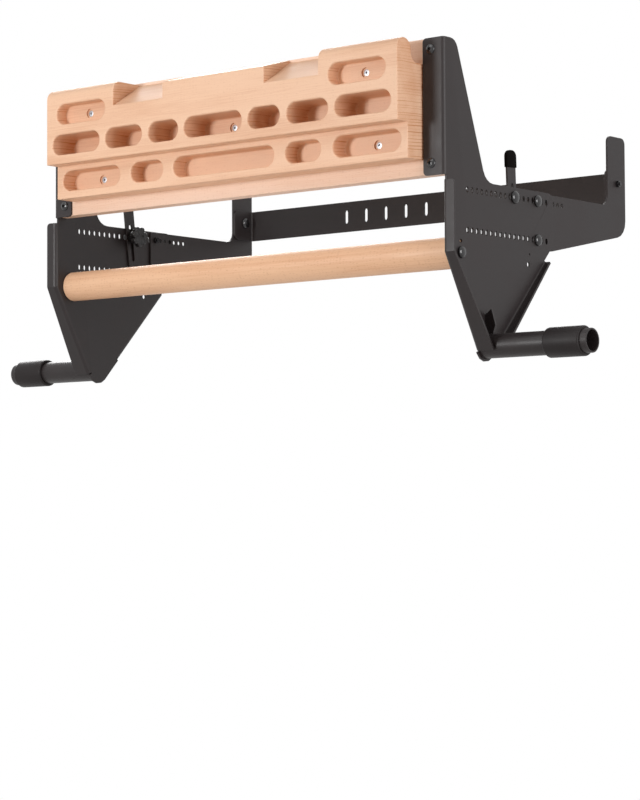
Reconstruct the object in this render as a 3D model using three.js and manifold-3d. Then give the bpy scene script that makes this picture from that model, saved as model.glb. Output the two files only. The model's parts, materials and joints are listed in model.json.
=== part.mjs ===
import * as THREE from 'three';
import { mergeVertices } from 'three/addons/utils/BufferGeometryUtils.js';
import Module from 'manifold-3d';

// A hangboard and pull-up bar on a steel frame that hooks into a doorway.
// Lengths are millimetres. The pieces are drawn with x to the right, y to the back and z up, from the point midway
// between the side plates at the foremost slot of the upper row. The finished group is moved so that its origin is
// on the doorway: where the sleeves rest on the casing, and level with the tops of the clamp caps.

const wasm = await Module();
wasm.setup();

// Fits and cuts
const seatGap = 0.3;
const runningGap = 0.1;
const overrun = 10;

// Sheet steel
const sheet = 3;
const foldRadius = 5;
const foldLap = 4;

// Side plates and their slot rows
const frameWidth = 666;
const slotPitch = 10;
const slotCount = 18;
const slotWidth = 5;
const slotHeight = 8;
const rowSpacing = 49.6;
const plateFront = 47;
const plateTop = 183;
const headDepth = 25.3;
const headCorner = 15;
const neckFoot = 39;
const neckFillet = 22;
const legTop = 12.3;
const legCorner = 9;
const legEnd = 15;
const kneeDrop = 80;
const rearDrop = 61;

// Flanges of the side plates
const upperFlangeWidth = 32;
const upperFlangeFoot = 14.5;
const lowerFlangeTop = 8;
const lowerFlangeWidth = 17;
const footFlangeWidth = 27;
const footFlangeStop = 3;
const flangeRelief = 1.5;
const rearFlangeWidth = 18;
const rearFlangeStart = 23.5;
const rearFlangeLength = 133;
const flangeCorner = 5;

// Spare holes in the side plates, back from and below the foremost upper slot
const spareHoleBack = 129.6;
const spareHoleDrop = 82;
const spareHoleRadius = 3.2;
const dotHoleBack = 132;
const dotHoleDrop = 69;
const dotHoleRadius = 1.6;

// Backing board
const backingThickness = 20;
const backingFoot = 15.7;
const edgeChamfer = 2.5;

// Hangboard
const boardEndGap = 2;
const boardThickness = 51;
const boardStep = 20;
const boardFoot = 34.3;
const stepLevel = 78.7;
const edgeRound = 3;
const topRound = 6;
const middleFront = 168;
const middleBack = 182.6;
const sloperFront = 147;
const sloperBack = 182;
const sloperInner = 87;
const endBlockLength = 124;
const endFront = 177.4;
const endCrest = 180;
const crestBack = 19;
const endCorner = 13;
const lipThickness = 28;
const grooveFloor = 152.5;
const grooveFillet = 13;

// Pockets: height, mouth and floor, then each kind's width, distance from the middle, level and depth
const pocketHeight = 27;
const mouthRound = 2;
const floorRound = 6;
const topPocketWidth = 89;
const topPocketOutShare = 0.7876;
const topPocketLevel = 145.3;
const topPocketDepth = 18.5;
const middleRowLevel = 104.3;
const middleRowDepth = 42;
const fourFingerWidth = 87;
const fourFingerOutShare = 0.8177;
const threeFingerWidth = 66;
const threeFingerOutShare = 0.5251;
const twoFingerWidth = 52;
const twoFingerOutShare = 0.2876;
const centrePocketWidth = 98;
const lowerRowLevel = 58.3;
const lowerRowDepth = 23.5;
const lowerEndWidth = 105.5;
const lowerEndOutShare = 0.786;
const lowerSmallWidth = 57;
const lowerSmallOutShare = 0.4465;
const lowerCentreWidth = 172;

// Hangboard screws
const screwHeadRadius = 4;
const screwHeadHeight = 2.4;
const screwRadius = 1.6;
const screwIntoBacking = 15;
const screwRecessRadius = 1.7;
const screwRecessDepth = 1.5;

// Bolts: domed heads on the outside of the frame, button heads on the front flanges
const slotBoltRadius = 2.2;
const clampHeadRadius = 8;
const armHeadRadius = 7.5;
const domeHeight = 5;
const domeRim = 1.4;
const nutRadius = 4.6;
const nutHeight = 4;
const boltTail = 1.5;
const flangeBoltRadius = 3;
const flangeHeadRadius = 6.4;
const flangeHeadHeight = 3.4;
const flangeNutRadius = 5.8;
const flangeBoltInset = 20;
const flangeBoltHigh = 168.9;
const flangeBoltLow = 29.4;
const socketRadius = 2.1;
const socketDepth = 2;

// Pull-up bar and its bolts
const barDiameter = 39.5;
const barFront = 14;
const barDrop = 78;
const barEase = 2;
const barBoltRadius = 3;
const barBoltLength = 45;
const barHeadRadius = 7.5;
const pinHoleRadius = 2.4;
const pinHoleRise = 14;

// Handles: tube, sleeve and gusset
const handleBack = 36;
const handleDrop = 190.6;
const handleDiameter = 30;
const handleWall = 2;
const handleLength = 156;
const sleeveWall = 3.25;
const sleeveLength = 52;
const sleeveInset = 9.5;
const sleeveRound = 2.4;
const gussetHeight = 31;
const gussetRoot = 24;
const gussetTop = 9.6;
const gussetReach = 15.5;
const gussetReachHeight = 10.6;
const gussetFoot = 11.7;

// Rear arms
const armBoltSlot = 15;
const armLead = 10;
const armTop = 11;
const armDrop = 61;
const armFootLength = 46;
const armCorner = 4;
const armHoleCount = 7;
const armHoleRadius = 3;
const uprightFront = 319;
const uprightRear = 361;
const uprightTop = 104;
const uprightFoot = 26;
const uprightCorner = 8;
const uprightHeel = 24;
const armFillet = 14;

// Rear rail
const railFoot = 16;
const railHeight = 43.5;
const railTabCorner = 8;
const railBoltBack = 342;
const railBoltLevel = 41.5;
const railSlotCount = 9;
const railSlotPitch = 36;
const railSlotWidth = 6;
const railSlotHeight = 20;

// Clamp levers, caps, washers and knobs
const clampSlot = 10;
const leverWidth = 18;
const leverTop = 58;
const leverFoot = 43;
const leverSlotTop = 18;
const leverSlotFoot = 34;
const leverSlotWidth = 6;
const leverCorner = 6;
const leanLeftDegrees = 7;
const leanRightDegrees = 2.5;
const capLength = 22;
const capWall = 2;
const capCorner = 6;
const washerRadius = 7;
const washerHeight = 1.5;
const knobRadius = 14.5;
const knobLobes = 7;
const lobeDepth = 2.6;
const knobHeight = 11;
const knobRound = 2;
const knobHubRadius = 8;
const knobHubHeight = 5;
const knobBoltDepth = 13;

// Places that follow from the sizes
const plateOuter = frameWidth / 2;
const plateInner = plateOuter - sheet;
const webFront = foldRadius - plateFront;
const backingFront = sheet - plateFront;
const boardFace = backingFront - boardThickness;
const boardEnd = plateOuter - upperFlangeWidth - boardEndGap;
const topPocketOut = topPocketOutShare * boardEnd;
const fourFingerOut = fourFingerOutShare * boardEnd;
const threeFingerOut = threeFingerOutShare * boardEnd;
const twoFingerOut = twoFingerOutShare * boardEnd;
const lowerEndOut = lowerEndOutShare * boardEnd;
const lowerSmallOut = lowerSmallOutShare * boardEnd;
const flangeBoltOut = plateOuter - flangeBoltInset;
const stepFace = boardFace + boardStep;
const rearEdge = (slotCount - 1) * slotPitch + legEnd;
const handleRadius = handleDiameter / 2;
const sleeveRadius = handleRadius + seatGap + sleeveWall;
const footRadius = handleRadius + 2 * seatGap + sheet;
const handleEnd = plateOuter + handleLength;
const armBoltBack = armBoltSlot * slotPitch;
const clampBack = clampSlot * slotPitch;
const leverFace = plateInner - runningGap;
const washerFace = leverFace - sheet - runningGap;
const knobFace = washerFace - washerHeight - runningGap;

// Facets
const arcSegments = 2;
const slotSegments = 1.5;
const pocketSegments = 3;
const roundSides = 24;
const boltSides = 10;
const nutSides = 6;
const roundSteps = 2;
const lobeSteps = 4;

const finish = {
  beech: { color: 0xe8bd92, roughness: 0.6, metalness: 0 },
  ply: { color: 0xeccfab, roughness: 0.65, metalness: 0 },
  powder: { color: 0x1f1e22, roughness: 0.55, metalness: 0.2 },
  black: { color: 0x131316, roughness: 0.3, metalness: 0.3 },
  rubber: { color: 0x151517, roughness: 0.75, metalness: 0 },
  zinc: { color: 0xc3c6c8, roughness: 0.35, metalness: 0.9 },
};

// Solids from three.js geometry

function signedVolume(position, index) {
  const corners = [new THREE.Vector3(), new THREE.Vector3(), new THREE.Vector3()];
  let volume = 0;
  for (let i = 0; i < index.length; i += 3) {
    corners.forEach((corner, k) => corner.fromBufferAttribute(position, index[i + k]));
    volume += corners[0].dot(corners[1].cross(corners[2])) / 6;
  }
  return volume;
}

function solid(geometry) {
  const bare = new THREE.BufferGeometry();
  bare.setAttribute('position', geometry.attributes.position);
  bare.setIndex(geometry.index);
  const merged = mergeVertices(bare);
  const triangles = [];
  for (let i = 0; i < merged.index.count; i += 3) {
    const [a, b, c] = [0, 1, 2].map((k) => merged.index.getX(i + k));
    if (a !== b && b !== c && c !== a) triangles.push(a, b, c);
  }
  if (signedVolume(merged.attributes.position, triangles) < 0) triangles.reverse();
  return new wasm.Manifold(new wasm.Mesh({
    numProp: 3,
    vertProperties: new Float32Array(merged.attributes.position.array),
    triVerts: new Uint32Array(triangles),
  }));
}

function joined(first, ...others) {
  return others.reduce((body, other) => body.add(other), first);
}

function cut(body, ...tools) {
  return tools.reduce((rest, tool) => rest.subtract(tool), body);
}

// Extrusions: a shape of (y, z) along x, of (x, z) along y and of (x, y) along z

const unitX = new THREE.Vector3(1, 0, 0);
const unitY = new THREE.Vector3(0, 1, 0);
const unitZ = new THREE.Vector3(0, 0, 1);

function extruded(shape, depth, segments = arcSegments) {
  return new THREE.ExtrudeGeometry(shape, { depth, bevelEnabled: false, curveSegments: segments });
}

function alongX(shape, from, to, segments) {
  const geometry = extruded(shape, to - from, segments);
  geometry.applyMatrix4(new THREE.Matrix4().makeBasis(unitY, unitZ, unitX));
  return solid(geometry.translate(from, 0, 0));
}

function alongY(shape, from, to, segments) {
  const geometry = extruded(shape, to - from, segments);
  geometry.applyMatrix4(new THREE.Matrix4().makeBasis(unitX, unitZ, unitY.clone().negate()));
  return solid(geometry.translate(0, to, 0));
}

function alongZ(shape, from, to, segments) {
  return solid(extruded(shape, to - from, segments).translate(0, 0, from));
}

// Outlines

// A closed outline through corners [across, up, radius]; a radius rounds its corner with a tangent arc.
function outline(corners) {
  const shape = new THREE.Shape();
  const place = (i) => new THREE.Vector2(...corners.at(i % corners.length));
  corners.forEach(([across, up, radius = 0], i) => {
    if (radius === 0) {
      if (i === 0) shape.moveTo(across, up);
      else shape.lineTo(across, up);
      return;
    }
    const corner = new THREE.Vector2(across, up);
    const toLast = place(i - 1).sub(corner).normalize();
    const toNext = place(i + 1).sub(corner).normalize();
    const halfAngle = Math.acos(toLast.dot(toNext)) / 2;
    const run = radius / Math.tan(halfAngle);
    const middle = toLast.clone().add(toNext).normalize().multiplyScalar(radius / Math.sin(halfAngle));
    const centre = corner.clone().add(middle);
    const start = toLast.clone().multiplyScalar(run).sub(middle).angle();
    const end = toNext.clone().multiplyScalar(run).sub(middle).angle();
    if (i > 0) shape.lineTo(centre.x + radius * Math.cos(start), centre.y + radius * Math.sin(start));
    shape.absarc(centre.x, centre.y, radius, start, end, toLast.cross(toNext) > 0);
  });
  return shape;
}

// A slot with round ends, centred on (across, up), lying along its longer side.
function slot(across, up, width, height) {
  const radius = Math.min(width, height) / 2;
  const reachAcross = width / 2 - radius;
  const reachUp = height / 2 - radius;
  const tilt = width > height ? Math.PI / 2 : 0;
  const shape = new THREE.Shape();
  shape.absarc(across - reachAcross, up + reachUp, radius, tilt, Math.PI + tilt);
  shape.absarc(across + reachAcross, up - reachUp, radius, Math.PI + tilt, 2 * Math.PI + tilt);
  return shape;
}

function circle(across, up, radius) {
  const shape = new THREE.Shape();
  shape.absarc(across, up, radius, 0, 2 * Math.PI);
  return shape;
}

// What is cut off to round the corner at (across, up); the signs say which way the corner points.
function cornerWaste(across, up, radius, signAcross, signUp) {
  const shape = new THREE.Shape();
  const outAcross = across + signAcross * overrun;
  const outUp = up + signUp * overrun;
  const centreAcross = across - signAcross * radius;
  const centreUp = up - signUp * radius;
  shape.moveTo(centreAcross, outUp);
  shape.lineTo(outAcross, outUp);
  shape.lineTo(outAcross, centreUp);
  const start = signAcross > 0 ? 0 : Math.PI;
  const end = signUp > 0 ? Math.PI / 2 : -Math.PI / 2;
  shape.absarc(centreAcross, centreUp, radius, start, end, signAcross * signUp < 0);
  return shape;
}

// Round pieces, turned about y from a profile of [radius, along], and laid along x

function turned(profile, sides = boltSides) {
  return new THREE.LatheGeometry(profile.map((point) => new THREE.Vector2(...point)), sides);
}

function arcProfile(centre, radius, startDegrees, endDegrees) {
  return Array.from({ length: roundSteps + 1 }, (unused, i) => {
    const angle = THREE.MathUtils.degToRad(startDegrees + (endDegrees - startDegrees) * i / roundSteps);
    return [centre[0] + radius * Math.cos(angle), centre[1] + radius * Math.sin(angle)];
  });
}

function rod(radius, length, sides) {
  return turned([[0, 0], [radius, 0], [radius, length], [0, length]], sides);
}

function tubeProfile(inner, outer, length) {
  return [[inner, 0], [outer, 0], [outer, length], [inner, length], [inner, 0]];
}

// A domed head in front of y = 0 with its shank behind.
function domedBolt(headRadius, shankRadius, shankLength) {
  const rise = domeHeight - domeRim;
  const dome = Array.from({ length: arcSegments + 1 }, (unused, i) => {
    const angle = Math.PI / 2 * (1 - i / arcSegments);
    return [headRadius * Math.cos(angle), -domeRim - rise * Math.sin(angle)];
  });
  return turned([...dome, [headRadius, 0], [shankRadius, 0], [shankRadius, shankLength], [0, shankLength]]);
}

// A quarter turn lays a piece made about y along x, its front to the outside or to the middle of the frame.
function frontOutwards(geometry, x, y, z) {
  return solid(geometry.rotateZ(Math.PI / 2).translate(x, y, z));
}

function frontInwards(geometry, x, y, z) {
  return solid(geometry.rotateZ(-Math.PI / 2).translate(x, y, z));
}

function boreX(radius, from, to, y, z, sides = boltSides) {
  return frontInwards(rod(radius, to - from, sides), from, y, z);
}

function boreY(radius, x, from, to, z) {
  return solid(rod(radius, to - from).translate(x, from, z));
}

// Folded flanges

// The left-hand normals of a path, stretched at its bends so that an offset keeps its distance from both sides.
function mitres(path) {
  const normals = path.slice(1).map((point, i) => {
    const along = point.clone().sub(path[i]).normalize();
    return new THREE.Vector2(-along.y, along.x);
  });
  return path.map((point, i) => {
    const before = normals[Math.max(i - 1, 0)];
    const after = normals[Math.min(i, normals.length - 1)];
    return before.clone().add(after).divideScalar(1 + before.dot(after));
  });
}

function inset(path, distance) {
  return mitres(path).map((mitre, i) => mitre.multiplyScalar(distance).add(path[i]));
}

// The fold of a flange: its free leg, the bend, and a short lap into the web.
function foldSection(width) {
  const inner = foldRadius - sheet;
  const section = new THREE.Shape();
  section.moveTo(0, width);
  section.lineTo(0, foldRadius);
  section.absarc(foldRadius, foldRadius, foldRadius, Math.PI, 1.5 * Math.PI);
  section.lineTo(foldRadius + foldLap, 0);
  section.lineTo(foldRadius + foldLap, sheet);
  section.absarc(foldRadius, foldRadius, inner, 1.5 * Math.PI, Math.PI, true);
  section.lineTo(sheet, width);
  return section;
}

// A flange along a path of (y, z), as wide as widths says at each point of it.
function flange(path, widths, x, direction) {
  const steps = path.length - 1;
  const geometry = new THREE.ExtrudeGeometry(foldSection(widths[0]), {
    depth: steps, steps, bevelEnabled: false, curveSegments: arcSegments,
  });
  const offsets = mitres(path);
  const position = geometry.attributes.position;
  for (let i = 0; i < position.count; i += 1) {
    const ring = Math.round(position.getZ(i));
    const out = position.getY(i);
    const growth = (widths[ring] - foldRadius) / (widths[0] - foldRadius);
    const reach = out > foldRadius ? foldRadius + (out - foldRadius) * growth : out;
    const place = offsets[ring].clone().multiplyScalar(position.getX(i)).add(path[ring]);
    position.setXYZ(i, x + direction * reach, place.x, place.y);
  }
  return solid(geometry);
}

// Side plate

function tangentDirection(from, centre, radius, side) {
  const towards = centre.clone().sub(from);
  return towards.rotateAround(new THREE.Vector2(), side * Math.asin(radius / towards.length())).normalize();
}

function crossing(from, along, other, otherAlong) {
  const reach = other.clone().sub(from).cross(otherAlong) / along.cross(otherAlong);
  return along.clone().multiplyScalar(reach).add(from);
}

function step(from, along, distance) {
  return along.clone().multiplyScalar(distance).add(from);
}

function sidePlate() {
  const handle = new THREE.Vector2(handleBack, -handleDrop);
  const knee = new THREE.Vector2(-plateFront, -kneeDrop);
  const heel = new THREE.Vector2(rearEdge, -rearDrop);
  const kneeLine = tangentDirection(knee, handle, footRadius, -1);
  const heelLine = tangentDirection(heel, handle, footRadius, 1);
  const kneeRun = Math.sqrt(knee.distanceToSquared(handle) - footRadius ** 2);

  const upperPath = [new THREE.Vector2(-plateFront, plateTop), new THREE.Vector2(-plateFront, upperFlangeFoot)];
  const frontPath = [
    new THREE.Vector2(-plateFront, lowerFlangeTop),
    knee,
    step(knee, kneeLine, kneeRun - footFlangeStop),
  ];
  const rearPath = [
    step(heel, heelLine, rearFlangeStart + rearFlangeLength),
    step(heel, heelLine, rearFlangeStart),
  ];
  const frontEdge = [frontPath[0], knee, step(frontPath[2], kneeLine, flangeRelief)];
  const rearEdgeEnd = step(rearPath[0], heelLine, flangeRelief);
  const frontFold = inset(frontEdge, foldRadius);
  const rearFold = inset([rearEdgeEnd, rearPath[1]], foldRadius);
  const rearTop = crossing(rearFold[0], heelLine, heel, new THREE.Vector2(0, 1));
  const foot = crossing(knee, kneeLine, heel, heelLine);

  const web = alongX(outline([
    [webFront, plateTop],
    frontFold[1].toArray(),
    frontFold[2].toArray(),
    frontEdge[2].toArray(),
    [...foot.toArray(), footRadius],
    rearEdgeEnd.toArray(),
    rearFold[0].toArray(),
    rearTop.toArray(),
    [rearEdge, legTop, legCorner],
    [neckFoot, legTop, neckFillet],
    [headDepth - plateFront, plateTop, headCorner],
  ]), plateInner, plateOuter);

  const plate = joined(
    web,
    flange(upperPath, [upperFlangeWidth, upperFlangeWidth], plateOuter, -1),
    flange(frontPath, [lowerFlangeWidth, lowerFlangeWidth, footFlangeWidth], plateInner, 1),
    flange(rearPath, [rearFlangeWidth, rearFlangeWidth], plateInner, 1),
  );

  const upperEdge = plateOuter - upperFlangeWidth;
  const lowerEdge = plateInner + lowerFlangeWidth;
  const corners = [
    [upperEdge, plateTop, -1, 1],
    [upperEdge, upperFlangeFoot, -1, -1],
    [lowerEdge, lowerFlangeTop, 1, 1],
  ].map(([x, z, signX, signZ]) => (
    alongY(cornerWaste(x, z, flangeCorner, signX, signZ), -plateFront - overrun, webFront)
  ));

  const slots = [];
  for (let i = 0; i < slotCount; i += 1) {
    for (const z of [0, -rowSpacing]) {
      const shape = slot(i * slotPitch, z, slotWidth, slotHeight);
      slots.push(alongX(shape, plateInner - overrun, plateOuter + overrun, slotSegments));
    }
  }

  const holes = [
    [barBoltRadius + seatGap, -barFront, -barDrop],
    [pinHoleRadius, -barFront, pinHoleRise - barDrop],
    [spareHoleRadius, spareHoleBack, -spareHoleDrop],
    [dotHoleRadius, dotHoleBack, -dotHoleDrop],
  ].map(([radius, y, z]) => boreX(radius, plateInner - overrun, plateOuter + overrun, y, z));

  const flangeHoles = [flangeBoltHigh, flangeBoltLow].map((z) => (
    boreY(flangeBoltRadius + seatGap, flangeBoltOut, -plateFront - overrun, backingFront + overrun, z)
  ));
  const handleSeat = boreX(
    handleRadius + seatGap, plateOuter, plateInner + footFlangeWidth, handleBack, -handleDrop, roundSides,
  );
  return cut(plate, ...corners, ...slots, ...holes, ...flangeHoles, handleSeat);
}

// Backing board and hangboard

function backingBoard() {
  const end = plateInner - seatGap;
  const back = backingFront + backingThickness;
  const plan = outline([
    [-end + edgeChamfer, backingFront],
    [end - edgeChamfer, backingFront],
    [end, backingFront + edgeChamfer],
    [end, back],
    [-end, back],
    [-end, backingFront + edgeChamfer],
  ]);
  const board = alongZ(plan, backingFoot, plateTop);
  const boltHoles = [-flangeBoltOut, flangeBoltOut].flatMap((x) => [flangeBoltHigh, flangeBoltLow].map((z) => (
    boreY(flangeBoltRadius + seatGap, x, backingFront - overrun, back + overrun, z)
  )));
  const pilots = screwPlaces().map(({ x, z }) => (
    boreY(screwRadius + seatGap, x, backingFront - overrun, backingFront + screwIntoBacking + seatGap, z)
  ));
  return cut(board, ...boltHoles, ...pilots);
}

function pocketPlaces() {
  const pair = (out, z, width, depth, face) => [-out, out].map((x) => ({ x, z, width, depth, face }));
  const single = (z, width, depth, face) => [{ x: 0, z, width, depth, face }];
  return [
    ...pair(topPocketOut, topPocketLevel, topPocketWidth, topPocketDepth, boardFace),
    ...pair(fourFingerOut, middleRowLevel, fourFingerWidth, middleRowDepth, boardFace),
    ...pair(threeFingerOut, middleRowLevel, threeFingerWidth, middleRowDepth, boardFace),
    ...pair(twoFingerOut, middleRowLevel, twoFingerWidth, middleRowDepth, boardFace),
    ...single(middleRowLevel, centrePocketWidth, middleRowDepth, boardFace),
    ...pair(lowerEndOut, lowerRowLevel, lowerEndWidth, lowerRowDepth, stepFace),
    ...pair(lowerSmallOut, lowerRowLevel, lowerSmallWidth, lowerRowDepth, stepFace),
    ...single(lowerRowLevel, lowerCentreWidth, lowerRowDepth, stepFace),
  ];
}

function screwPlaces() {
  const topFloor = boardFace + topPocketDepth;
  const middleFloor = boardFace + middleRowDepth;
  const lowerFloor = stepFace + lowerRowDepth;
  return [
    { name: 'top_left', x: -topPocketOut, z: topPocketLevel, floor: topFloor },
    { name: 'top_right', x: topPocketOut, z: topPocketLevel, floor: topFloor },
    { name: 'centre', x: 0, z: middleRowLevel, floor: middleFloor },
    { name: 'lower_left', x: -lowerEndOut, z: lowerRowLevel, floor: lowerFloor },
    { name: 'lower_right', x: lowerEndOut, z: lowerRowLevel, floor: lowerFloor },
  ];
}

// The space of one pocket: a slot that flares at its mouth and draws in to its floor.
function pocketSpace({ x, z, width, depth, face }) {
  const radius = pocketHeight / 2;
  const reach = width / 2 - radius;
  const mouth = arcProfile([mouthRound, mouthRound], mouthRound, 270, 180)
    .map(([growth, at]) => ({ growth, at }));
  const floor = arcProfile([-floorRound, depth - floorRound], floorRound, 0, 90)
    .map(([growth, at]) => ({ growth, at }));
  const rings = [{ growth: mouthRound, at: -overrun }, ...mouth, ...floor];
  const steps = rings.length - 1;
  const geometry = new THREE.ExtrudeGeometry(slot(0, 0, width, pocketHeight), {
    depth: steps, steps, bevelEnabled: false, curveSegments: pocketSegments,
  });
  const position = geometry.attributes.position;
  for (let i = 0; i < position.count; i += 1) {
    const ring = rings[Math.round(position.getZ(i))];
    const spine = THREE.MathUtils.clamp(position.getX(i), -reach, reach);
    const scale = (radius + ring.growth) / radius;
    position.setXYZ(
      i,
      x + spine + (position.getX(i) - spine) * scale,
      face + ring.at,
      z + position.getY(i) * scale,
    );
  }
  return solid(geometry);
}

function hangboard() {
  const endInner = boardEnd - endBlockLength;
  const lipBack = boardFace + lipThickness;
  const lowerEdge = [
    [stepFace, stepLevel],
    [stepFace, boardFoot, edgeRound],
    [backingFront, boardFoot],
  ];
  const middle = alongX(outline([
    ...lowerEdge,
    [backingFront, middleBack],
    [boardFace, middleFront, topRound],
    [boardFace, stepLevel, edgeRound],
  ]), -endInner, endInner);

  const slope = (sloperBack - sloperFront) / boardThickness;
  const sloperWaste = outline([
    [boardFace - overrun, sloperFront - overrun * slope],
    [backingFront + overrun, sloperBack + overrun * slope],
    [boardFace - overrun, sloperBack + overrun * slope],
  ]);
  const slopers = [
    alongX(sloperWaste, sloperInner, endInner + overrun),
    alongX(sloperWaste, -endInner - overrun, -sloperInner),
  ];

  const endBlock = alongX(outline([
    ...lowerEdge,
    [backingFront, grooveFloor],
    [lipBack, grooveFloor, grooveFillet],
    [lipBack, endCrest, edgeRound],
    [boardFace + crestBack, endCrest],
    [boardFace, endFront, topRound],
    [boardFace, stepLevel, edgeRound],
  ]), endInner, boardEnd);
  const endCorners = [[endInner, -1], [boardEnd, 1]].map(([x, sign]) => (
    alongY(cornerWaste(x, endCrest, endCorner, sign, 1), boardFace - overrun, lipBack + overrun)
  ));
  const rightBlock = cut(endBlock, ...endCorners);
  const leftBlock = mirrored(rightBlock);

  const heads = screwPlaces().map(({ x, z, floor }) => (
    solid(screwShape(seatGap, backingFront + overrun - floor).translate(x, floor, z))
  ));
  const pockets = pocketPlaces().map(pocketSpace);
  return cut(joined(cut(middle, ...slopers), rightBlock, leftBlock), ...pockets, ...heads);
}

// A countersunk head at y = 0 and its shank, or with growth the hole that takes it.
function screwShape(growth, length) {
  const radius = screwRadius + growth;
  const headRadius = screwHeadRadius + growth;
  return turned([[0, 0], [headRadius, 0], [radius, screwHeadHeight], [radius, length], [0, length]]);
}

function hangboardScrew({ x, z, floor }) {
  const shape = screwShape(0, backingFront + screwIntoBacking - floor);
  const recess = rod(screwRecessRadius, screwRecessDepth + overrun, nutSides).translate(0, -overrun, 0);
  return cut(solid(shape.translate(x, floor, z)), solid(recess.translate(x, floor, z)));
}

// Bar, handles and their fasteners

function pullUpBar() {
  const radius = barDiameter / 2;
  const profile = [
    [0, -plateInner],
    ...arcProfile([radius - barEase, barEase - plateInner], barEase, -90, 0),
    ...arcProfile([radius - barEase, plateInner - barEase], barEase, 0, 90),
    [0, plateInner],
  ];
  const bar = frontInwards(turned(profile, roundSides), 0, -barFront, -barDrop);
  const boreFoot = plateOuter - barBoltLength - seatGap;
  const bores = [
    boreX(barBoltRadius + seatGap, boreFoot, plateInner + overrun, -barFront, -barDrop),
    boreX(barBoltRadius + seatGap, -plateInner - overrun, -boreFoot, -barFront, -barDrop),
  ];
  return cut(bar, ...bores);
}

function barBolt() {
  return frontOutwards(domedBolt(barHeadRadius, barBoltRadius, barBoltLength), plateOuter, -barFront, -barDrop);
}

function handleTube() {
  const profile = tubeProfile(handleRadius - handleWall, handleRadius, handleLength);
  return frontInwards(turned(profile, roundSides), plateOuter, handleBack, -handleDrop);
}

function handleSleeve() {
  const start = handleEnd - sleeveInset - sleeveLength;
  const inner = handleRadius + seatGap;
  const edge = sleeveRadius - sleeveRound;
  const profile = [
    [inner, 0],
    ...arcProfile([edge, sleeveRound], sleeveRound, -90, 0),
    ...arcProfile([edge, sleeveLength - sleeveRound], sleeveRound, 0, 90),
    [inner, sleeveLength],
    [inner, 0],
  ];
  return frontInwards(turned(profile, roundSides), start, handleBack, -handleDrop);
}

function handleGusset() {
  const foot = handleRadius + seatGap - handleDrop;
  const shape = outline([
    [plateOuter, foot],
    [plateOuter + gussetFoot, foot],
    [plateOuter + gussetReach, foot + gussetReachHeight],
    [plateOuter + gussetTop, foot + gussetHeight],
    [plateOuter, foot + gussetRoot],
  ]);
  return alongY(shape, handleBack - sheet / 2, handleBack + sheet / 2);
}

// Rear arms and rail

function rearArm() {
  const front = armBoltBack - armLead;
  const shape = outline([
    [front, -armDrop, armCorner],
    [front + armFootLength, -armDrop, uprightHeel],
    [uprightRear, -uprightFoot, uprightHeel],
    [uprightRear, uprightTop, uprightCorner],
    [uprightFront, uprightTop, uprightCorner],
    [uprightFront, armTop, armFillet],
    [front, armTop, armCorner],
  ]);
  const arm = alongX(shape, plateInner - sheet, plateInner);
  const row = Array.from({ length: armHoleCount }, (unused, i) => [armBoltBack + i * slotPitch, 0]);
  const places = [...row, [armBoltBack, -rowSpacing], [railBoltBack, railBoltLevel]];
  const holes = places.map(([y, z]) => (
    boreX(armHoleRadius, plateInner - sheet - overrun, plateInner + overrun, y, z)
  ));
  return cut(arm, ...holes);
}

function rearRail() {
  const out = plateInner - sheet;
  const inner = out - sheet;
  const shape = outline([
    [out, uprightFront],
    [out, uprightRear, foldRadius],
    [-out, uprightRear, foldRadius],
    [-out, uprightFront],
    [-inner, uprightFront],
    [-inner, uprightRear - sheet, foldRadius - sheet],
    [inner, uprightRear - sheet, foldRadius - sheet],
    [inner, uprightFront],
  ]);
  const rail = alongZ(shape, railFoot, railFoot + railHeight);
  const middleLevel = railFoot + railHeight / 2;
  const slots = Array.from({ length: railSlotCount }, (unused, i) => {
    const x = (i - (railSlotCount - 1) / 2) * railSlotPitch;
    const shape = slot(x, middleLevel, railSlotWidth, railSlotHeight);
    return alongY(shape, uprightRear - sheet - overrun, uprightRear + overrun, slotSegments);
  });
  const corners = [[railFoot, -1], [railFoot + railHeight, 1]].map(([z, sign]) => (
    alongX(cornerWaste(uprightFront, z, railTabCorner, -1, sign), -out - overrun, out + overrun)
  ));
  const bolts = boreX(armHoleRadius, -out - overrun, out + overrun, railBoltBack, railBoltLevel);
  return cut(rail, ...slots, ...corners, bolts);
}

function railBolt() {
  const length = 2 * sheet + nutHeight + boltTail;
  const bolt = domedBolt(armHeadRadius, slotBoltRadius, length);
  return frontInwards(bolt, plateInner - 2 * sheet, railBoltBack, railBoltLevel);
}

function boredNut(radius, shankRadius) {
  const body = solid(rod(radius, nutHeight, nutSides));
  return cut(body, solid(rod(shankRadius + seatGap, nutHeight + 2 * overrun).translate(0, -overrun, 0)));
}

function armBolt(z) {
  const length = 2 * sheet + nutHeight + boltTail;
  return frontOutwards(domedBolt(armHeadRadius, slotBoltRadius, length), plateOuter, armBoltBack, z);
}

// Front flange bolts

function flangeBolt(z) {
  const length = sheet + backingThickness + nutHeight + boltTail;
  const edge = [flangeHeadRadius, 0];
  const head = Array.from({ length: arcSegments + 1 }, (unused, i) => {
    const angle = Math.PI / 2 * (1 - i / arcSegments);
    return [flangeHeadRadius * Math.cos(angle), -flangeHeadHeight * Math.sin(angle)];
  });
  const profile = [...head.slice(0, -1), edge, [flangeBoltRadius, 0], [flangeBoltRadius, length], [0, length]];
  const socket = rod(socketRadius, socketDepth + overrun, nutSides);
  const bolt = cut(solid(turned(profile)), solid(socket.translate(0, -flangeHeadHeight - overrun, 0)));
  return bolt.translate([flangeBoltOut, -plateFront, z]);
}

// Clamp levers: the bar, its cap, the washer and the star knob on the clamp bolt

function leaned(body, leanDegrees) {
  return body.rotate([leanDegrees, 0, 0]).translate([0, clampBack, 0]);
}

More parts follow.
